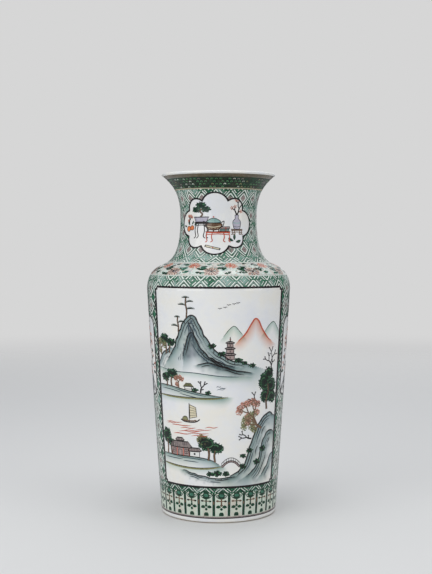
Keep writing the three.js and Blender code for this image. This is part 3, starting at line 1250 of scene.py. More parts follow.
# The leaves round each kind of flower: place across, share of the band's height, length, turn.
RED_FLOWER_LEAVES = (
    (-7, 0.78, 9, 175), (6, 0.44, 12, -18), (-2, 0.24, 9, 195),
    (10, 0.6, 9, 8), (11, 0.14, 8, 5), (-7, 0.5, 10, 200),
)
DARK_FLOWER_LEAVES = (
    (-8, 0.84, 8, 5), (5, 0.78, 10, 12), (5, 0.5, 12, -22), (-6, 0.46, 10, 165), (-11, 0.16, 8, 185),
)


def flower_band():
    """Coral flowers near the top and flatter aubergine ones near the bottom, on a stippled ground."""
    enamel_band("flower_ground", BODY_DIAPER_HIGH, FLOWER_HIGH, "band_ground", 0.08)
    low, high = up(BODY_DIAPER_HIGH), up(FLOWER_HIGH)
    for place, height, way in (("low", BODY_DIAPER_HIGH, 1), ("high", FLOWER_HIGH, -1)):
        enamel_band(f"flower_{place}_line", height - 0.4, height + 0.4, "white", 0.2)
        middle = height + way * 0.85
        enamel_band(f"flower_{place}_edge", middle - 0.3, middle + 0.3, "rose", 0.16)
    space = diaper_space(low + 1.2, high - 1.2, [])
    painting = Painting("flowers", SHOULDER_TURN_RADIUS, (0, low), space, seed=8, lift=0.05, cuts=(2.5, 2))
    chance = painting.chance
    width = high - low
    round_wall = TURN * SHOULDER_TURN_RADIUS
    step = round_wall / FLOWERS
    for k in range(FLOWERS):
        red = RED_FLOWER_SHIFT + k * step
        dark = red - step / 2
        stem = [(red - step * s, width * (0.5 + 0.2 * math.cos(TURN * s))) for s in np.linspace(0, 1, 9)]
        painting.line("black", stem, 0.8)
        for middle, leaves in ((red, RED_FLOWER_LEAVES), (dark, DARK_FLOWER_LEAVES)):
            for across, share, length, turn in leaves:
                colour = chance.choice(["leaf_green", "leaf_green", "teal_leaf"])
                place = (painting.near(middle + across, 0.8), painting.near(share * width, 0.6))
                leaf(painting, *place, length, painting.near(turn, 14), colour)
        flower(painting, red, width * 0.7, 9.2, "peach", "iron_red")
        flower(painting, dark, width * 0.25, 9.8, "aubergine", "ink")
    for _ in range(BAND_CURLS):
        x = chance.uniform(0, round_wall)
        y = chance.uniform(1.4, width - 1.4)
        start = chance.uniform(0, TURN)
        hook = [around(x, y, 1.3, 1.1, start + turn) for turn in (0, 1.2, 2.4, 3.6)]
        enamel = chance.choice(["blue_green", "teal_leaf", "white", "white", "lilac", "petal_edge"])
        painting.line(enamel, hook, 0.8)
    for _ in range(BAND_DOTS):
        enamel = chance.choice(["olive", "aubergine", "leaf_green"])
        place = (chance.uniform(0, round_wall), chance.uniform(0.6, width - 0.6))
        painting.dab(enamel, *place, 1.0, 0.65, chance.uniform(0, 180))
    painting.lay()


# Landscape painting

TEAL = (112, 152, 152)
SLATE_WASH = (84, 108, 120)
VIOLET_WASH = (104, 108, 138)
SEA_GREEN = (150, 190, 172)
ORANGE = (226, 140, 92)
STRAW = (190, 182, 120)
PINK = (206, 150, 130)
BANK_TEAL = (132, 168, 162)
WASH_CELL = 1.1
WASH_HEIGHT = 0.04
WASH_THICKNESS = 0.09
WASH_FADE = 1.4  # more makes a wash fade sooner


def washed_sheet(painting, half_width, half_height):
    """A thin glazed sheet over a panel that carries the painter's washes."""
    deselect()
    cells = [round(2 * half / WASH_CELL) for half in (half_width, half_height)]
    bpy.ops.mesh.primitive_grid_add(x_subdivisions=cells[0], y_subdivisions=cells[1], size=2)
    piece = bpy.context.object
    flat = places(piece) * (half_width, half_height, 1) + (*painting.middle, WASH_HEIGHT)
    set_places(piece, flat)
    shown = np.ones((len(flat), 4))
    for tint, path, reach_out, strength, side, hidden in painting.washes:
        near = np.all(flat[:, :2] > path.min(axis=0) - reach_out, axis=1)
        near &= np.all(flat[:, :2] < path.max(axis=0) + reach_out, axis=1)
        start, run = path[None, :-1], np.diff(path, axis=0)[None]
        from_start = flat[near, None, :2] - start
        share = np.clip((from_start * run).sum(axis=2) / (run**2).sum(axis=2), 0, 1)
        away = from_start - share[:, :, None] * run
        distance = np.linalg.norm(away, axis=2)
        nearest = distance.argmin(axis=1)
        rows = np.arange(len(nearest))
        along = run[0, nearest]
        across = away[rows, nearest]
        amount = strength * np.clip(1 - distance[rows, nearest] / reach_out, 0, 1) ** WASH_FADE
        if side:
            amount *= (along[:, 0] * across[:, 1] - along[:, 1] * across[:, 0]) * side > 0
        for outline in hidden:
            amount *= ~within(flat[near, 0], flat[near, 1], outline)
        shown[near, :3] *= 1 - amount[:, None] * (1 - np.array(srgb(*tint)[:3]))
    wash = piece.data.color_attributes.new("wash", "FLOAT_COLOR", "POINT")
    wash.data.foreach_set("color", shown.astype(np.float32).ravel())
    solid = piece.modifiers.new("thickness", "SOLIDIFY")
    solid.thickness = WASH_THICKNESS
    solid.offset = -1
    bpy.ops.object.modifier_apply(modifier=solid.name)
    wrap(piece, painting.turn_radius)
    dress(piece, f"{painting.name}_washes", WASHED_GLAZE, "porcelain")


def offset(points, distance):
    """A line that follows another on its right-hand side."""
    path = smooth(points, WASH_STEP)
    return path + to_right(path) * distance


def rugged(spot, path, size=0.8):
    """A line with the small knobs and dips of rock."""
    fine = smooth(path, 4.5)
    jog = np.array([0, *(spot.chance.uniform(-size, size) for _ in fine[2:]), 0])
    return fine - to_right(fine) * jog[:, None]


def ridge(spot, path, reach_down, folds=3, line_width=1.3, fold_step=3.2, hatch=None):
    """A mountain ridge: a heavy outline, washes under it, and lesser folds that follow it.

    Hatching comes down as far as the height that is given for it."""
    uniform = spot.chance.uniform
    path = rugged(spot, path)
    spot.line("black", path, line_width * 1.2, (0.5, 0.5))
    for x, y in path[2:-2:2]:
        drop = uniform(0.04, 0.13) * reach_down
        lean = uniform(-1.2, 1.2)
        tick = [(x, y - 0.8), (x + lean / 2, y - 0.8 - drop / 2), (x + lean, y - 0.8 - drop)]
        spot.line("black", tick, 0.9, (0.9, 0.1))
    spot.shade(TEAL, path, reach_down, 0.85)
    spot.shade(SLATE_WASH, path, fold_step * 1.5, 0.6)
    for fold in range(1, folds + 1):
        inner = offset(path, fold * fold_step * uniform(0.85, 1.15))
        count = len(inner)
        start = int(count * uniform(0.03, 0.12) * fold)
        end = int(count * (1 - uniform(0.03, 0.12) * fold))
        if end - start > 4:
            inner = inner[start:end:3]
            spot.shade(SLATE_WASH, inner, fold_step, 0.6)
            gap = int(uniform(0.3, 0.7) * len(inner))
            for part in (inner[:gap], inner[gap + 1 :]):
                if len(part) > 2:
                    enamel = "black" if fold % 2 else "slate"
                    spot.line(enamel, part, line_width * uniform(0.7, 1.2), (0.2, 0.2))
            for x, y in offset(inner, fold_step * 1.6)[:: spot.chance.choice((5, 7, 9))]:
                spot.puff(SLATE_WASH, x, y, fold_step * uniform(1, 1.5), 0.3)
    if hatch is not None:
        below = offset(path, fold_step * (folds + 0.4))
        for x, y in below[3:-3]:
            drop = min(uniform(0.2, 0.5) * reach_down, y - hatch)
            lean = uniform(-1, 1)
            if drop > 2:
                tick = [(x, y), (x + lean, y - drop / 2), (x + lean * 1.5, y - drop)]
                spot.line("slate", tick, 0.6, (0.8, 0.1))


def foliage(spot, x, y, width, height, enamel="leaf_green"):
    """A rounded crown of leaves: a lobed patch with small touches all over it."""
    phase = spot.chance.uniform(0, TURN)
    rim = []
    for angle in np.arange(20) / 20 * TURN:
        swell = 1 + 0.09 * math.sin(5 * angle + phase)
        rim.append(around(x, y, width / 2 * swell, height / 2 * swell, angle))
    spot.fill(enamel, rim)
    count = int(width * height / 3.2)
    for i in range(count):
        out = ((i + 0.5) / count) ** 0.62 * 0.92
        place = around(x, y, width / 2 * out, height / 2 * out, i * 2.4)
        light = out > 0.45 and i % 4 == 0 and enamel == "leaf_green"
        spot.dab("leaf_light" if light else "ink", *place, 1.7, 0.95, spot.chance.uniform(-20, 70))
    for i in range(int((width + height) * 0.9)):
        angle = spot.chance.uniform(0, TURN)
        place = around(x, y, width * 0.53, height * 0.53, angle)
        spot.dab(enamel, *place, 2.2, 1.4, math.degrees(angle))


def shrubs(spot, crowns):
    for x, y, width in crowns:
        foliage(spot, x, y + width * 0.3, width, width * 0.62)


def trunk(spot, points, width):
    spot.line("black", points, width + 0.9, (1, 0.6))
    spot.line("bark", points, width, (1, 0.6))


def round_tree(spot, trunks, crowns):
    """A tree with rounded crowns."""
    for points, width in trunks:
        trunk(spot, points, width)
    for crown in crowns:
        foliage(spot, *crown)


def branch(spot, x, y, angle, length, width, forks, tips, enamel="black"):
    """A crooked branch that forks again and again. Its tips are added to the list."""
    chance = spot.chance
    bend = chance.uniform(-16, 16)
    middle = around(x, y, length * 0.5, length * 0.5, math.radians(angle + bend))
    end = around(x, y, length, length, math.radians(angle))
    spot.line(enamel, [(x, y), middle, end], width * 1.3, (1, 0.75))
    if forks == 0:
        tips.append(end)
        return
    for fork_turn in (chance.uniform(14, 34), -chance.uniform(18, 42)):
        share = chance.uniform(0.62, 0.84)
        fork_width = max(0.95, width * 0.72)
        branch(spot, *end, angle + fork_turn, length * share, fork_width, forks - 1, tips, enamel)
    if forks > 1:
        side = chance.choice((-60, 55))
        branch(spot, *middle, angle + side, length * 0.5, max(0.9, width * 0.55), forks - 2, tips, enamel)


def bare_tree(spot, angle, length, width, forks):
    """A tree with no leaves, with knots on its twigs."""
    tips = []
    branch(spot, 0, 0, angle, length, width, forks, tips)
    for x, y in tips:
        spot.dab("black", x, y, 2.1, 1.8)


def leafy_tree(spot, enamel, accent, tint, angle, length, width, forks, spread=4.6):
    """A tree whose twigs end in loose puffs of small touches over a soft wash."""
    tips = []
    branch(spot, 0, 0, angle, length, width, forks, tips, "bark")
    for x, y in tips:
        spot.puff(tint, x, y, spread * 1.3, 0.6)
        for i in range(PUFF_LEAVES):
            out = spread * math.sqrt(spot.chance.random())
            place = around(x, y, out, out, spot.chance.uniform(0, TURN))
            spot.dab(enamel if i % 4 else accent, *place, 1.9, 1.25, spot.chance.uniform(0, 180))


def pine(spot, height, tiers):
    """A tall thin pine with level tiers of needles."""
    trunk(spot, [(0, 0), (0.8, height * 0.35), (-0.6, height * 0.7), (0.3, height)], 1.1)
    for x, y, half in tiers:
        spot.line("black", [(0, y - 1.6), (x * 0.5, y - 0.4), (x, y)], 0.9)
        needles = int(half * 2.2)
        for i in range(needles):
            along = x - half + 2 * half * (i + 0.5) / needles
            rise = 1.4 * (1 - ((along - x) / half) ** 2)
            spot.straight("leaf_green", [(along, y - 0.6), (along * 1.02, y + rise + 0.9)], 0.9, (0.8, 0.3))
        spot.line("ink", [(x - half, y - 0.5), (x, y + 0.3), (x + half, y - 0.5)], 0.7, (0.3, 0.3))


def roof(spot, x, y, half_width, height, overhang, lines):
    """A tiled roof with turned-up eaves, seen from the front."""
    left, right = x - half_width, x + half_width
    slope = [(left - overhang, y + 1), (left, y), (right, y), (right + overhang, y + 1)]
    crown = [(right - overhang * 0.6, y + height), (left + overhang * 0.6, y + height)]
    spot.fill("aubergine", [*slope, *crown], soft=False)
    spot.line("ink", [slope[0], (left + 1, y - 0.2), (right - 1, y - 0.2), slope[3]], 1.1)
    spot.straight("ink", crown, 1.3)
    spot.straight("ink", [slope[0], crown[1]], 0.8)
    spot.straight("ink", [slope[3], crown[0]], 0.8)
    for i in range(1, lines):
        share = i / lines
        foot_x = left + (right - left) * share
        top_x = crown[1][0] + (crown[0][0] - crown[1][0]) * share
        spot.straight("ink", [(foot_x, y), (top_x, y + height)], 0.4)


def pavilion(spot):
    """A waterside pavilion: a hall with lattice windows, and a lower wing beside it."""
    spot.outlined("rose", [(-13, 0), (13, 0), (13, 10), (-13, 10)], 0.9, soft=False)
    for x in (-13, -5, 5, 13):
        spot.straight("iron_red", [(x, 0), (x, 10)], 1.2)
    for x in (-9, 9):
        window = [(x - 2.4, 3), (x + 2.4, 3), (x + 2.4, 8), (x - 2.4, 8)]
        spot.straight("ink", window, 0.6, closed=True)
        spot.straight("ink", [(x, 3), (x, 8)], 0.5)
        spot.straight("ink", [(x - 2.4, 5.5), (x + 2.4, 5.5)], 0.5)
    spot.straight("ink", [(-2.6, 0), (-2.6, 7.5), (2.6, 7.5), (2.6, 0)], 0.8)
    roof(spot, 0, 10, 14, 7, 3.4, 9)
    roof(spot, 0, 18, 5, 3.4, 1.8, 4)
    spot.outlined("white_wall", [(14, 0), (27, 0), (27, 6.5), (14, 6.5)], soft=False)
    spot.dab("ink", 20.5, 3.4, 3, 3)
    roof(spot, 20.5, 6.5, 7, 4, 2.2, 6)


def pagoda(spot, storeys):
    """A slender tower of roofed storeys, smaller towards the top."""
    y = 0
    for storey in range(storeys):
        half = 5.4 - 0.9 * storey
        rise = 5.6 - 0.5 * storey
        spot.outlined("rose", [(-half, y), (half, y), (half, y + rise), (-half, y + rise)], soft=False)
        spot.dab("ink", 0, y + rise * 0.45, 2.4, 1.3, 90)
        y += rise
        roof(spot, 0, y, half, 2.6, 2, 3)
        y += 2.6
    spot.straight("ink", [(0, y), (0, y + 6)], 1.1, (1, 0.4))
    spot.dab("iron_red", 0, y + 2.4, 1.9, 1.9)


def hut(spot):
    """A thatched hut on posts."""
    spot.straight("ink", [(-5, 0), (-5, 5)], 0.8)
    spot.straight("ink", [(5, 0), (5, 5)], 0.8)
    spot.straight("ink", [(-5, 1.2), (5, 1.2)], 0.6)
    spot.fill("olive", [(-7.5, 4.6), (7.5, 4.6), (3.5, 9), (-3.5, 9)], soft=False)
    for i in range(9):
        x = -6.4 + 1.6 * i
        spot.straight("ink", [(x, 4.4), (x * 0.5, 9)], 0.45)
    spot.straight("ink", [(-7.8, 4.4), (7.8, 4.4)], 0.9)


def boat(spot):
    """A small boat under a battened sail."""
    spot.line("black", [(-11, 2.4), (-6, 0.2), (3, -0.4), (9, 0.6), (13, 3.2)], 1.5)
    spot.line("bark", [(-8, 1.9), (-4, 1.3), (4, 1.2), (9, 2)], 1.6)
    spot.straight("ink", [(0, 0), (0.4, 21)], 0.9)
    spot.outlined("straw", [(0.8, 19.5), (8.4, 16.4), (9.6, 6), (1, 4)], 0.7, soft=False)
    for share in (0.2, 0.4, 0.6, 0.8):
        spot.straight("ink", [(0.8, 19.5 - 15.5 * share), (8.4 + 1.2 * share, 16.4 - 10.4 * share)], 0.45)
    awning = [(-9, 2), (-8, 5), (-5, 6.2), (-2.4, 5), (-1.6, 1.6)]
    spot.fill("olive", awning)
    spot.line("ink", awning, 0.7)


def wavelets(spot, count, width, height, enamel="iron_red"):
    """Long fine lines of broken water."""
    uniform = spot.chance.uniform
    for i in range(count):
        x = uniform(-width / 2, width / 2)
        y = -height * (i + 0.5) / count
        length = uniform(0.25, 0.5) * width
        lift = uniform(0.6, 1.8)
        left = [(x - length / 2, y), (x - length / 5, y + lift)]
        right = [(x + length / 6, y + lift * 0.4), (x + length / 2, y + lift * 1.3)]
        spot.line(enamel, [*left, *right], uniform(0.7, 1.1), (0.1, 0.1))


def birds(spot, count):
    for i in range(count):
        x = i * 5.2 + spot.chance.uniform(-1, 1)
        y = i * 2.1 + spot.chance.uniform(-1.6, 1.6)
        left = [(x - 2.2, y + 0.9), (x - 0.7, y + 1.1)]
        spot.line("ink", [*left, (x, y), (x + 1, y + 1.4), (x + 2.6, y + 1)], 0.6)


def bank(spot, top, foot):
    """A low bank of land: a washed top with dark strokes, and an olive line where it meets the water."""
    spot.line("black", top, 1.2, (0.5, 0.3))
    spot.shade(BANK_TEAL, top, 16, 0.95)
    spot.shade(SLATE_WASH, top, 4, 0.45)
    for step, start, end in ((2.4, 0.3, 0.8), (4.6, 0.05, 0.45), (6.4, 0.4, 0.72)):
        inner = offset(top, step)
        spot.line("slate", inner[int(start * len(inner)) : int(end * len(inner)) : 2], 1.1, (0.2, 0.2))
    spot.line("olive", foot, 2.6, (0.3, 0.2))
    spot.line("ink", [(x, y + 1) for x, y in foot], 0.8, (0.3, 0.2))
    spot.shade(SEA_GREEN, foot, 9, 0.6)


def bridge(spot, span, rise):
    """An arched plank bridge with a rail."""
    half = span / 2
    deck = [(-half, 0), (-half * 0.5, rise * 0.75), (0, rise), (half * 0.5, rise * 0.75), (half, 0)]
    under = [(x * 0.9, y - 2) for x, y in deck]
    spot.fill("rose", [*deck, *under[::-1]])
    spot.line("ink", deck, 0.9)
    spot.line("ink", under, 0.8)
    spot.line("ink", [(x, y + 3.6) for x, y in deck], 0.7)
    for i in range(9):
        share = i / 8
        x = -half + span * share
        y = rise * (1 - (2 * share - 1) ** 2)
        spot.straight("ink", [(x, y - 1.6), (x, y + 3.8)], 0.55)


def boulders(spot, domes):
    """A heap of rounded rocks, the far ones first and hidden by the near ones."""
    paths = []
    for x, y, width, height in domes:
        left, right = x - width * 0.5, x + width * 0.5
        knob = spot.chance.uniform(-0.06, 0.06)
        rise = [(left, y), (left + width * 0.08, y + height * (0.52 + knob))]
        crown = [(x - width * (0.14 + knob), y + height * 0.94), (x + width * 0.12, y + height)]
        paths.append([*rise, *crown, (right - width * 0.12, y + height * (0.6 - knob)), (right, y)])
    outlines = [smooth(spot.spread(path), WASH_STEP) + spot.painting.middle for path in paths]
    for i, path in enumerate(paths):
        spot.painting.hidden = outlines[i + 1 :]
        height = domes[i][3]
        ridge(spot, path, min(14, height), folds=2, fold_step=2.6)
        x, y = path[3]
        for k in range(6):
            start = (x - 3 + 2.2 * k, y - height * 0.26)
            end = (x - 4 + 2.6 * k, y - height * spot.chance.uniform(0.45, 0.7))
            spot.straight("slate", [start, end], 0.7, (0.8, 0.1))
    spot.painting.hidden = []


def far_hills(land, red_hill, *green_hills):
    """Distant hills, each a line over a wash."""
    land.line("iron_red", red_hill, 1.9, (0.4, 0.4))
    land.shade(ORANGE, red_hill, 15, 0.8)
    for hill in green_hills:
        land.line("leaf_green", hill, 0.8, (0.3, 0.3))
        land.shade(SEA_GREEN, hill, 11, 0.7)


def shore(land, line, tips):
    land.line("slate", line, 1.1, tips)
    land.shade(SEA_GREEN, line, 9, 0.6)


# The top and foot of the near bank, which both panels have.
NEAR_BANK = (
    [(-89, -88), (-64, -88.5), (-34, -89), (-12, -92), (0, -98)],
    [(-89, -101), (-60, -103), (-32, -104), (-10, -103), (4, -101)],
)


def front_scene(painting):
    """A lake under a great peak, with far red hills, a pavilion and a wooded cliff."""
    land = Spot(painting, 0, 0)
    far_hills(
        land,
        [(24, 60), (33, 69), (41, 82), (46, 88), (51, 85), (57, 74), (66, 63), (72, 59)],
        [(6, 66), (13, 75), (19, 79), (25, 73), (30, 67)],
        [(60, 70), (68, 79), (76, 83), (84, 75), (89, 68)],
    )
    birds(land.at(2, 100), 5)

    ridge(land, [(-89, 30), (-82, 41), (-72, 47), (-64, 50)], 14, 2)
    peak = [(-70, 36), (-60, 50), (-53, 66), (-46, 80), (-38, 90), (-31, 92), (-25, 84), (-18, 68), (-9, 54)]
    ridge(land, [*peak, (2, 43), (16, 36), (34, 31), (48, 27)], 36, fold_step=3.6, hatch=34)
    inner = [(-46, 40), (-42, 56), (-37, 68), (-33, 71), (-28, 62), (-22, 50), (-12, 40), (2, 33), (18, 28)]
    ridge(land, inner, 24, 2)
    for x, y, reach_out in ((-34, 57, 9), (-37, 48, 11), (-31, 44, 12), (-40, 40, 10)):
        land.puff(VIOLET_WASH, x, y, reach_out, 0.5)
    ridge(land, [(-26, 30), (-14, 33), (0, 29), (14, 25), (28, 21), (42, 19)], 8, 1)
    shore(land, [(-89, 24), (-60, 20), (-30, 19), (6, 15), (40, 14)], (0.3, 0.1))
    pine(land.at(-40, 89), 27, [(5.5, 12, 5.5), (-6, 17, 5), (5, 21, 4.5), (-0.5, 26, 5)])
    pine(land.at(-52, 71), 20, [(-5.5, 8, 5), (5, 13, 4.2), (-1, 19, 4.2)])
    pagoda(land.at(14, 36.5), 3)
    shrubs(land, [(4, 41, 9), (25, 33, 9), (33, 30, 7), (-8, 51, 9), (44, 26, 8)])
    round_tree(
        land.at(-74, 42), [([(0, 0), (1, 8), (0, 15)], 1.7), ([(7, 1), (6.4, 7), (8, 12)], 1.5)],
        [(-2, 19, 15, 12), (9, 15, 14, 10)],
    )
    leafy_tree(land.at(-84, 40), "olive", "leaf_green", STRAW, 85, 8, 1.6, 2)

    bank(
        land,
        [(-89, 2), (-66, 0.5), (-40, -4), (-14, -8.5), (4, -11)],
        [(-89, -12), (-62, -13), (-34, -13.5), (-8, -13.5), (12, -12)],
    )
    hut(land.at(-40, -3))
    round_tree(
        land.at(-66, 0), [([(0, 0), (-0.8, 7), (0.6, 13)], 1.8), ([(-9, 0), (-8, 6), (-9.4, 10)], 1.5)],
        [(1, 17, 17, 12), (-11, 12, 13, 11)],
    )
    leafy_tree(land.at(-54, -1), "blossom", "bark", PINK, 95, 6, 1.4, 2, 3)
    bare_tree(land.at(-23, -6), 80, 6.5, 1.5, 2)
    shrubs(land, [(-31, -5, 8), (-14, -8, 7)])

    wavelets(land.at(-38, -46), 11, 66, 17)
    boat(land.at(-40, -44, 1.15))
    wavelets(land.at(6, 2), 3, 26, 5, "slate")

    cliff = [(16, -113), (28, -107), (38, -95), (43, -78), (50, -60), (58, -46), (66, -38), (76, -35)]
    lower = [(42, -113), (53, -105), (60, -90), (64, -74), (71, -62), (80, -58), (89, -62)]
    ridge(land, [*cliff, (89, -40)], 36, 4, 1.5, 4)
    ridge(land, lower, 28, fold_step=3.6)
    ridge(land, [(66, -114), (76, -104), (82, -92), (89, -88)], 20, 2)
    trunk(land.at(70, -30), [(0, 0), (-1.5, 12), (1.2, 24), (0, 34)], 2.4)
    for crown in ((64, 6, 18, 22), (76, 0, 20, 20), (67, -12, 17, 16), (80, -14, 15, 16), (72, 16, 15, 16)):
        foliage(land, *crown)
    bare_tree(land.at(79, 12), 105, 14, 1.8, 3)
    bare_tree(land.at(58, -22), 150, 9, 1.5, 2)
    leafy_tree(land.at(54, -50), "blossom", "bark", PINK, 118, 13, 2.4, 3)
    leafy_tree(land.at(62, -54), "olive", "leaf_green", STRAW, 150, 11, 2.4, 3)
    bare_tree(land.at(46, -66), 165, 8, 1.5, 2)
    shrubs(land, [(44, -84, 9), (34, -90, 8), (66, -84, 11)])

    bank(land, *NEAR_BANK)
    pavilion(land.at(-56, -89, 1.1))
    round_tree(
        land.at(-80, -88), [([(0, 0), (1, 9), (-0.6, 19)], 2.1), ([(8, 0), (7, 8), (8, 12)], 1.7)],
        [(-1, 24, 17, 18), (8, 15, 12, 9)],
    )
    round_tree(
        land.at(-14, -93), [([(0, 0), (1, 9), (-0.6, 17)], 2.2), ([(9, -2), (8, 7), (9.4, 13)], 1.9)],
        [(-2, 21, 22, 16), (11, 16, 17, 13)],
    )
    foliage(land, -22, -66, 14, 12, "olive")
    bridge(land.at(17, -100), 26, 7)
    ridge(land, [(-52, -107), (-34, -111), (-14, -115), (4, -116), (22, -114)], 9, 2, 1.1, 2.2)
    shrubs(land, [(-12, -113, 9), (-2, -113, 11), (10, -113, 9), (34, -104, 9), (56, -100, 10)])


def back_scene(painting):
    """The same kind of country from another side: two peaks, a tower, boats and a wooded island."""
    land = Spot(painting, 0, 0)
    turned_land = land.at(0, 0, flip=-1)
    far_hills(
        land,
        [(-78, 78), (-68, 88), (-60, 98), (-55, 101), (-49, 95), (-40, 84), (-30, 78)],
        [(-44, 86), (-35, 92), (-27, 94), (-18, 86), (-10, 80)],
    )
    birds(land.at(-8, 98), 4)

    peak = [(-14, 30), (4, 42), (16, 58), (25, 74), (33, 86), (40, 88), (46, 78), (54, 64), (66, 52)]
    ridge(land, peak, 34, hatch=36)
    ridge(land, [(44, 44), (56, 56), (66, 64), (76, 62), (84, 50), (89, 44)], 24, 2)
    ridge(land, [(8, 32), (22, 46), (30, 62), (36, 66), (42, 54), (52, 42)], 20, 2)
    shore(land, [(-30, 22), (0, 25), (40, 22), (89, 26)], (0.1, 0.3))
    pine(land.at(30, 84), 26, [(-5.5, 11, 5.5), (6, 16, 5), (-5, 20, 4.5), (0.5, 25, 5)])
    pagoda(land.at(-2, 36), 3)
    shrubs(land, [(8, 42, 9), (-12, 30, 9), (60, 58, 9), (78, 60, 9)])

    bank(
        turned_land,
        [(-89, -14), (-60, -16), (-36, -19), (-12, -23), (4, -26)],
        [(-89, -27), (-62, -28), (-34, -28.5), (-8, -28.5), (12, -27)],
    )
    hut(land.at(46, -18))
    round_tree(
        land.at(66, -16), [([(0, 0), (0.8, 8), (-0.6, 15)], 1.9), ([(11, 0), (10, 6), (11, 11)], 1.6)],
        [(-1, 19, 18, 13), (12, 14, 14, 12)],
    )
    bare_tree(land.at(30, -20), 100, 7, 1.6, 2)
    wavelets(land.at(22, -52), 10, 62, 15)
    boat(land.at(26, -50, 1.1, -1))
    boat(land.at(-20, 2, 0.8))
    wavelets(land.at(-22, 0), 5, 40, 8)

    cliff = [(18, -112), (27, -104), (33, -90), (44, -82), (52, -66), (58, -52), (68, -44), (80, -46)]
    lower = [(44, -113), (54, -102), (60, -86), (68, -74), (78, -70), (89, -74)]
    ridge(turned_land, [*cliff, (89, -52)], 36, 4, 1.5, 4)
    ridge(turned_land, lower, 28, fold_step=3.6)
    ridge(turned_land, [(66, -114), (76, -105), (82, -96), (89, -93)], 20, 2)
    trunk(land.at(-70, -46), [(0, 0), (1.5, 12), (-1.2, 22), (0, 30)], 2.4)
    for crown in ((-64, -18, 18, 20), (-76, -14, 20, 20), (-69, -30, 17, 14), (-72, -2, 15, 14)):
        foliage(land, *crown)
    bare_tree(land.at(-78, -4), 75, 13, 1.8, 3)
    leafy_tree(land.at(-52, -68), "blossom", "bark", PINK, 62, 12, 2.3, 3)
    leafy_tree(land.at(-60, -74), "olive", "leaf_green", STRAW, 28, 10, 2.3, 3)

    bank(turned_land, *NEAR_BANK)
    pavilion(land.at(40, -89, 1.1, -1))
    round_tree(land.at(78, -88), [([(0, 0), (1, 9), (-0.6, 19)], 2.1)], [(0, 24, 18, 17), (-6, 15, 12, 9)])
    round_tree(land.at(8, -94), [([(0, 0), (1, 9), (-0.6, 16)], 2.2)], [(-2, 20, 21, 15), (9, 14, 13, 11)])
    bridge(land.at(-12, -100), 24, 7)
    ridge(turned_land, [(-50, -107), (-30, -111), (-10, -115), (10, -116), (26, -113)], 9, 2, 1.1, 2.2)
    shrubs(land, [(12, -112, 9), (2, -112, 11), (-9, -112, 9), (-48, -100, 10)])


def reserve_painting(reserve, name, turn_radius, seed, limits, cuts=(2.5, 10)):
    """A painting that keeps within a reserve."""
    def inside(x, y):
        return reserve.holds(x, y, -FRAME_LINE / 4)

    return Painting(name, turn_radius, (reserve.x, reserve.y), inside, seed, cuts=cuts, limits=limits)


def panels():
    """The two great panels, each with its washes under the drawing."""
    kinds = (("front_panel", front_scene, 21), ("back_panel", back_scene, 22))
    for reserve, (name, draw, seed) in zip(PANELS, kinds):
        half_width, half_height = reserve.blocks[0][0], reserve.blocks[1][1]
        painting = reserve_painting(reserve, name, BODY_TURN, seed, (half_width - 0.5, half_height - 0.5))
        draw(painting)
        painting.lay()
        washed_sheet(painting, half_width - 0.2, half_height - 0.2)


# Cartouche painting

def stand(spot, half, height, enamel="iron_red"):
    """A small table on turned-out legs."""
    spot.straight(enamel, [(-half - 1.5, 0), (half + 1.5, 0)], 2)
    spot.straight("ink", [(-half - 2, 1), (half + 2, 1)], 0.6)
    spot.line(enamel, [(-half, -2.6), (0, -1.8), (half, -2.6)], 1)
    for side in (-1, 1):
        for share in (1, 0.52):
            x = side * half * share
            upper = [(x, -0.5), (x + side * 0.8, -height * 0.5)]
            lower = [(x - side * 0.4, -height * 0.86), (x + side * 1.8, -height)]
            spot.line(enamel, [*upper, *lower], 1.3, (1, 0.8))


def censer(spot):
    """A round-bellied censer with loop handles, three feet and a domed lid."""
    for x in (-4.6, 0, 4.6):
        spot.straight("bark", [(x, 2.4), (x * 1.1, 0.2)], 1.7, (1, 0.7))
    spot.outlined("bark", [(-7, 7.4), (-7.6, 4.8), (-5, 2.2), (0, 1.4), (5, 2.2), (7.6, 4.8), (7, 7.4)])
    spot.line("straw", [(-6.8, 5), (0, 4), (6.8, 5)], 1)
    for x in (-4, -1.4, 1.4, 4):
        spot.dab("straw", x, 3, 1.2, 0.8, 90)
    spot.outlined("blue_green", [(-6.6, 8.2), (-4, 11), (0, 12), (4, 11), (6.6, 8.2)])
    spot.dab("iron_red", 0, 13.2, 2.2, 2.2)
    for side in (-1, 1):
        spot.line("ink", [(side * 6.8, 7.6), (side * 10, 9.4), (side * 9, 5.2), (side * 7.4, 4.6)], 1)


def dwarf_tree(spot):
    """A dwarf tree in a grey basin on a tall stand."""
    stand(spot, 6.4, 15, "black")
    spot.outlined("lilac", [(-8.4, 6), (-6.4, 1.4), (6.4, 1.4), (8.4, 6)], soft=False)
    spot.straight("ink", [(-9, 6.2), (9, 6.2)], 1)
    trunk(spot, [(-1, 6), (1.6, 9), (-1.4, 12), (1, 14.5)], 1.7)
    for crown in ((-5.5, 13.4, 9.5, 5.5), (5.6, 14, 9.5, 5.5), (0, 18, 11, 6)):
        foliage(spot, *crown)


def blossom_sprig(spot, x, y, angle, length, forks=2, petals="peach", heart="iron_red"):
    """A knotted branch with open flowers at its tips."""
    tips = []
    branch(spot, x, y, angle, length, 1.5, forks, tips)
    for tip in tips:
        for turn in np.arange(5) / 5 * TURN:
            spot.dab(petals, *around(*tip, 1.3, 1.3, turn), 1.9, 1.7, math.degrees(turn))
        spot.dab(heart, *tip, 1, 0.9)


VASE_SIDE = [(-2.2, 15), (-1.7, 12), (-4.6, 8.6), (-4.2, 4), (-2.6, 1)]


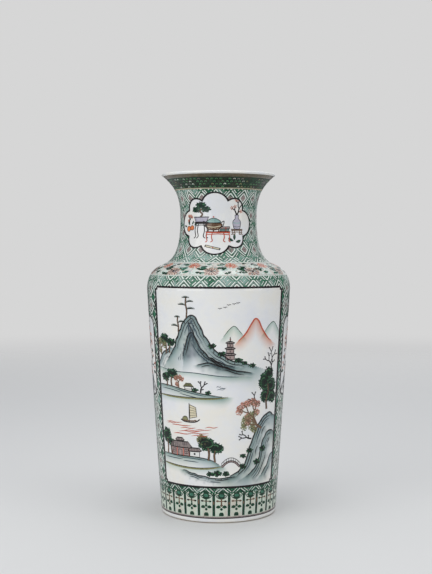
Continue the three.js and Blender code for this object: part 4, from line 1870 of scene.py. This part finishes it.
def flower_vase(spot):
    """A slim grey vase on a low stand, with a branch of blossom in it."""
    stand(spot, 5, 4.4, "bark")
    spot.outlined("lilac", [*VASE_SIDE, *((-x, y) for x, y in VASE_SIDE[::-1])])
    spot.line("blue_green", [(-4.4, 7.6), (0, 6.8), (4.4, 7.6)], 1.2)
    spot.line("ink", [(-3.8, 4), (0, 3.2), (3.8, 4)], 0.5)
    blossom_sprig(spot, 0, 15, 112, 7)
    blossom_sprig(spot, 0, 15, 64, 5.4, 1, "blossom", "bark")


def books(spot):
    """Two cased books tied with tape, one on the other."""
    spot.outlined("blue_green", [(-7, 0), (6, 0), (6, 3), (-7, 3)], soft=False)
    spot.outlined("rose", [(-5.6, 3.2), (7, 3.6), (7, 6.4), (-5.6, 6)], soft=False)
    for y in (1, 2):
        spot.straight("ink", [(-6.6, y), (5.6, y)], 0.35)
    spot.straight("iron_red", [(1.4, 0), (1.4, 6.3)], 0.8)


def fruit(spot):
    """Two round fruits with their leaves."""
    for x, y, size in ((-2.6, 0, 3.1), (3, 1, 2.7)):
        spot.outlined("orange", [around(x, y, size, size, angle) for angle in np.arange(10) / 10 * TURN], 0.6)
        spot.dab("iron_red", x - 0.5, y + size * 0.4, 1.4, 1.2, 40)
    for x, y, turn in ((-1, 4, 130), (2.6, 4.6, 60), (-6.4, 2.4, 165), (6, 4, 20)):
        middle, tip = [around(x, y, *reach_out, math.radians(turn)) for reach_out in ((2.6, 2.6), (5.2, 5))]
        spot.line("leaf_green", [(x, y), middle, tip], 2.4, leaf=True)


def scroll(spot):
    """A tied scroll that lies aslant."""
    spot.outlined("straw", [(-9, -1), (-8, -2.8), (9, 1.2), (8, 3.2)], soft=False)
    spot.straight("ink", [(-9, -1), (-8, -2.8)], 1.4)
    spot.straight("ink", [(9, 1.2), (8, 3.2)], 1.4)
    spot.straight("iron_red", [(-0.8, 1), (0, -1)], 1.2)


def leaves(painting, way, length, sprigs):
    """Single leaves, either way round."""
    for x, y, turn in sprigs:
        leaf(painting, way * x, y, length, turn if way > 0 else 180 - turn)


def antiques(painting, way):
    """Treasured things set out on their stands, either way round."""
    field = Spot(painting, 0, 0, 1, way)
    stand(field.at(4, -12, 1.15), 13, 11)
    censer(field.at(-2, -11, 1.45))
    books(field.at(13.5, -10.6, 0.95))
    dwarf_tree(field.at(-20, 0, 1.3))
    flower_vase(field.at(31, -9, 1.3, -1))
    fruit(field.at(-38, -7, 1.15))
    blossom_sprig(field.at(-40, 0), 0, 0, 85, 4.4, 2, "blossom", "bark")
    scroll(field.at(-3, -32, 1.1, -1))
    leaves(painting, way, 8, ((25, -23, 150), (28, -24, 15), (26.5, -22, 85)))


# Place, turn, length and forks of each branch of the knotted tree.
TREE_BRANCHES = (
    (2, -32, 30, 11, 2), (-6, -18, 150, 12, 2), (4, -6, 20, 13, 2),
    (0, 6, 130, 12, 3), (0, 6, 55, 11, 2), (-3, -24, 175, 9, 1),
)
TREE_LEAVES = (
    (8, -24, 20), (14, -18, -20), (-10, -10, 200), (-18, -4, 160), (10, 2, 10), (18, 8, -15),
    (-8, 14, 170), (6, 18, 60), (-20, 8, 200), (24, -8, -40), (-26, -20, 190), (14, 20, 30),
    (8, -44, 215), (24, -30, 40), (10, -30, 130), (24, -44, -30), (16, -48, 260), (6, -36, 180),
)


def flowering_rock(painting, way):
    """A knotted tree of blossom that grows beside a rock, with a peony and dark leaves, either way round."""
    field = Spot(painting, 0, 0, 1, way)
    boulders(field, [(-16, -57, 26, 34), (-24, -57, 22, 22), (-4, -58, 20, 18)])
    trunk(field, [(-6, -48), (2, -32), (-6, -18), (4, -6), (0, 6)], 2.8)
    for twig in TREE_BRANCHES:
        blossom_sprig(field, *twig)
    leaves(painting, way, 9, TREE_LEAVES)
    flower(painting, way * 17, -37, 9, "orange", "iron_red")
    birds(field.at(-6, 42), 3)


SIDE_WASH = (36, 34)  # half the width and height of the sheet of washes


def cartouches():
    """The lobed reserves on the neck and the tall ones on the sides."""
    for reserves, names, turn_radius, draw, limits in (
        (NECK_CARTOUCHES, ("neck_front", "neck_back"), NECK_TURN, antiques, (50, 38)),
        (SIDE_CARTOUCHES, ("right_side", "left_side"), BODY_TURN, flowering_rock, (36, 59)),
    ):
        for seed, (reserve, name, way) in enumerate(zip(reserves, names, (1, -1)), 31):
            painting = reserve_painting(reserve, name, turn_radius, seed, limits, (2.5, 4))
            draw(painting, way)
            painting.lay()
            if draw is flowering_rock:
                washed_sheet(painting, *SIDE_WASH)


# The stage, light and camera, in metres

FLOOR_RADIUS = 5
FLOOR_SIDES = 96
FLOOR_DROP = 0.0004  # below the foot, so that the two faces don't meet
FLOOR_ROUGHNESS = 0.8
FLOOR_COLOUR = srgb(216, 216, 214)
FLOOR_FADE = (0.7, 3.2)  # distances at which it starts and ends
BACKDROP_COLOUR = srgb(214, 214, 214)
MIRRORED_COLOUR = srgb(116, 118, 122)  # what the glaze reflects round it
SOFT_LIGHT = (0.9, 0.93, 1, 1)
SOFT_LIGHT_STRENGTH = 0.55
LIGHT_AIM = (0, 0, 0.22)
VIEW_DISTANCE = 1.45
VIEW_PLACE = (-0.0034, -VIEW_DISTANCE, 0.350)
VIEW_TILT = 1  # degrees below level
VIEW_DROP = 19.3  # how far the picture's middle lies below the camera's axis, in picture elements
PICTURE_HEIGHT = 574
PICTURE_ELEMENT = 1.3403 * MM  # what one spans at the vase
SENSOR = 36


def stage():
    """A pale round floor that fades into the backdrop well away from the vase."""
    deselect()
    bpy.ops.mesh.primitive_circle_add(
        vertices=FLOOR_SIDES, radius=FLOOR_RADIUS, fill_type="NGON", location=(0, 0, -FLOOR_DROP)
    )
    floor = bpy.context.object
    floor.name = "floor"
    bpy.ops.object.transform_apply(location=True)
    material = bpy.data.materials.new("pale_floor")
    material.use_nodes = True
    tree = material.node_tree
    shader = tree.nodes["Principled BSDF"]
    shader.inputs["Base Color"].default_value = FLOOR_COLOUR
    shader.inputs["Roughness"].default_value = FLOOR_ROUGHNESS
    place = node(tree, "TexCoord").outputs["Object"]
    distance = node(tree, "VectorMath", {0: place}, operation="LENGTH").outputs["Value"]
    span = {"Value": distance, "From Min": FLOOR_FADE[0], "From Max": FLOOR_FADE[1]}
    fade = node(tree, "MapRange", span, interpolation_type="SMOOTHSTEP").outputs["Result"]
    clear = node(tree, "BsdfTransparent").outputs["BSDF"]
    blend = node(tree, "MixShader", {"Fac": fade, 1: shader.outputs["BSDF"], 2: clear})
    tree.links.new(blend.outputs["Shader"], tree.nodes["Material Output"].inputs["Surface"])
    floor.data.materials.append(material)


def area_light(name, place, size, power):
    bpy.ops.object.light_add(type="AREA", location=place)
    lamp = bpy.context.object
    lamp.name = name
    lamp.data.energy = power
    lamp.data.size = size
    aim = Vector(LIGHT_AIM) - Vector(place)
    lamp.rotation_euler = aim.to_track_quat("-Z", "Y").to_euler()


def light():
    """Soft lamps round the vase, and a pale surround that it also reflects."""
    area_light("key", (-1.5, -1.5, 1.0), 2.0, 22)
    area_light("fill", (1.9, -1.3, 0.8), 1.4, 9)
    area_light("top", (0.1, -0.2, 1.9), 1.2, 12)
    area_light("behind", (0.4, 1.9, 1.2), 1.8, 6)
    world = bpy.data.worlds.new("studio")
    bpy.context.scene.world = world
    world.use_nodes = True
    tree = world.node_tree
    soft = tree.nodes["Background"]
    soft.inputs["Color"].default_value = SOFT_LIGHT
    soft.inputs["Strength"].default_value = SOFT_LIGHT_STRENGTH
    rays = node(tree, "LightPath")
    seen = soft.outputs["Background"]
    for ray, colour in (("Is Glossy Ray", MIRRORED_COLOUR), ("Is Camera Ray", BACKDROP_COLOUR)):
        surround = node(tree, "Background", {"Color": colour}).outputs["Background"]
        seen = node(tree, "MixShader", {"Fac": rays.outputs[ray], 1: seen, 2: surround}).outputs["Shader"]
    tree.links.new(seen, tree.nodes["World Output"].inputs["Surface"])


def camera():
    """The photograph's viewpoint: nearly level, before the upper part of the vase."""
    deselect()
    bpy.ops.object.camera_add(location=VIEW_PLACE, rotation=(math.radians(90 - VIEW_TILT), 0, 0))
    view = bpy.context.object
    view.data.lens = SENSOR * VIEW_DISTANCE / PICTURE_ELEMENT / PICTURE_HEIGHT
    view.data.shift_y = -VIEW_DROP / PICTURE_HEIGHT
    bpy.context.scene.camera = view


porcelain()
lappet_band()
chevron_band()
body_diaper()
flower_band()
neck_diaper()
mouth_band()
panels()
cartouches()
stage()
light()
camera()
bpy.context.scene.view_settings.view_transform = "Standard"
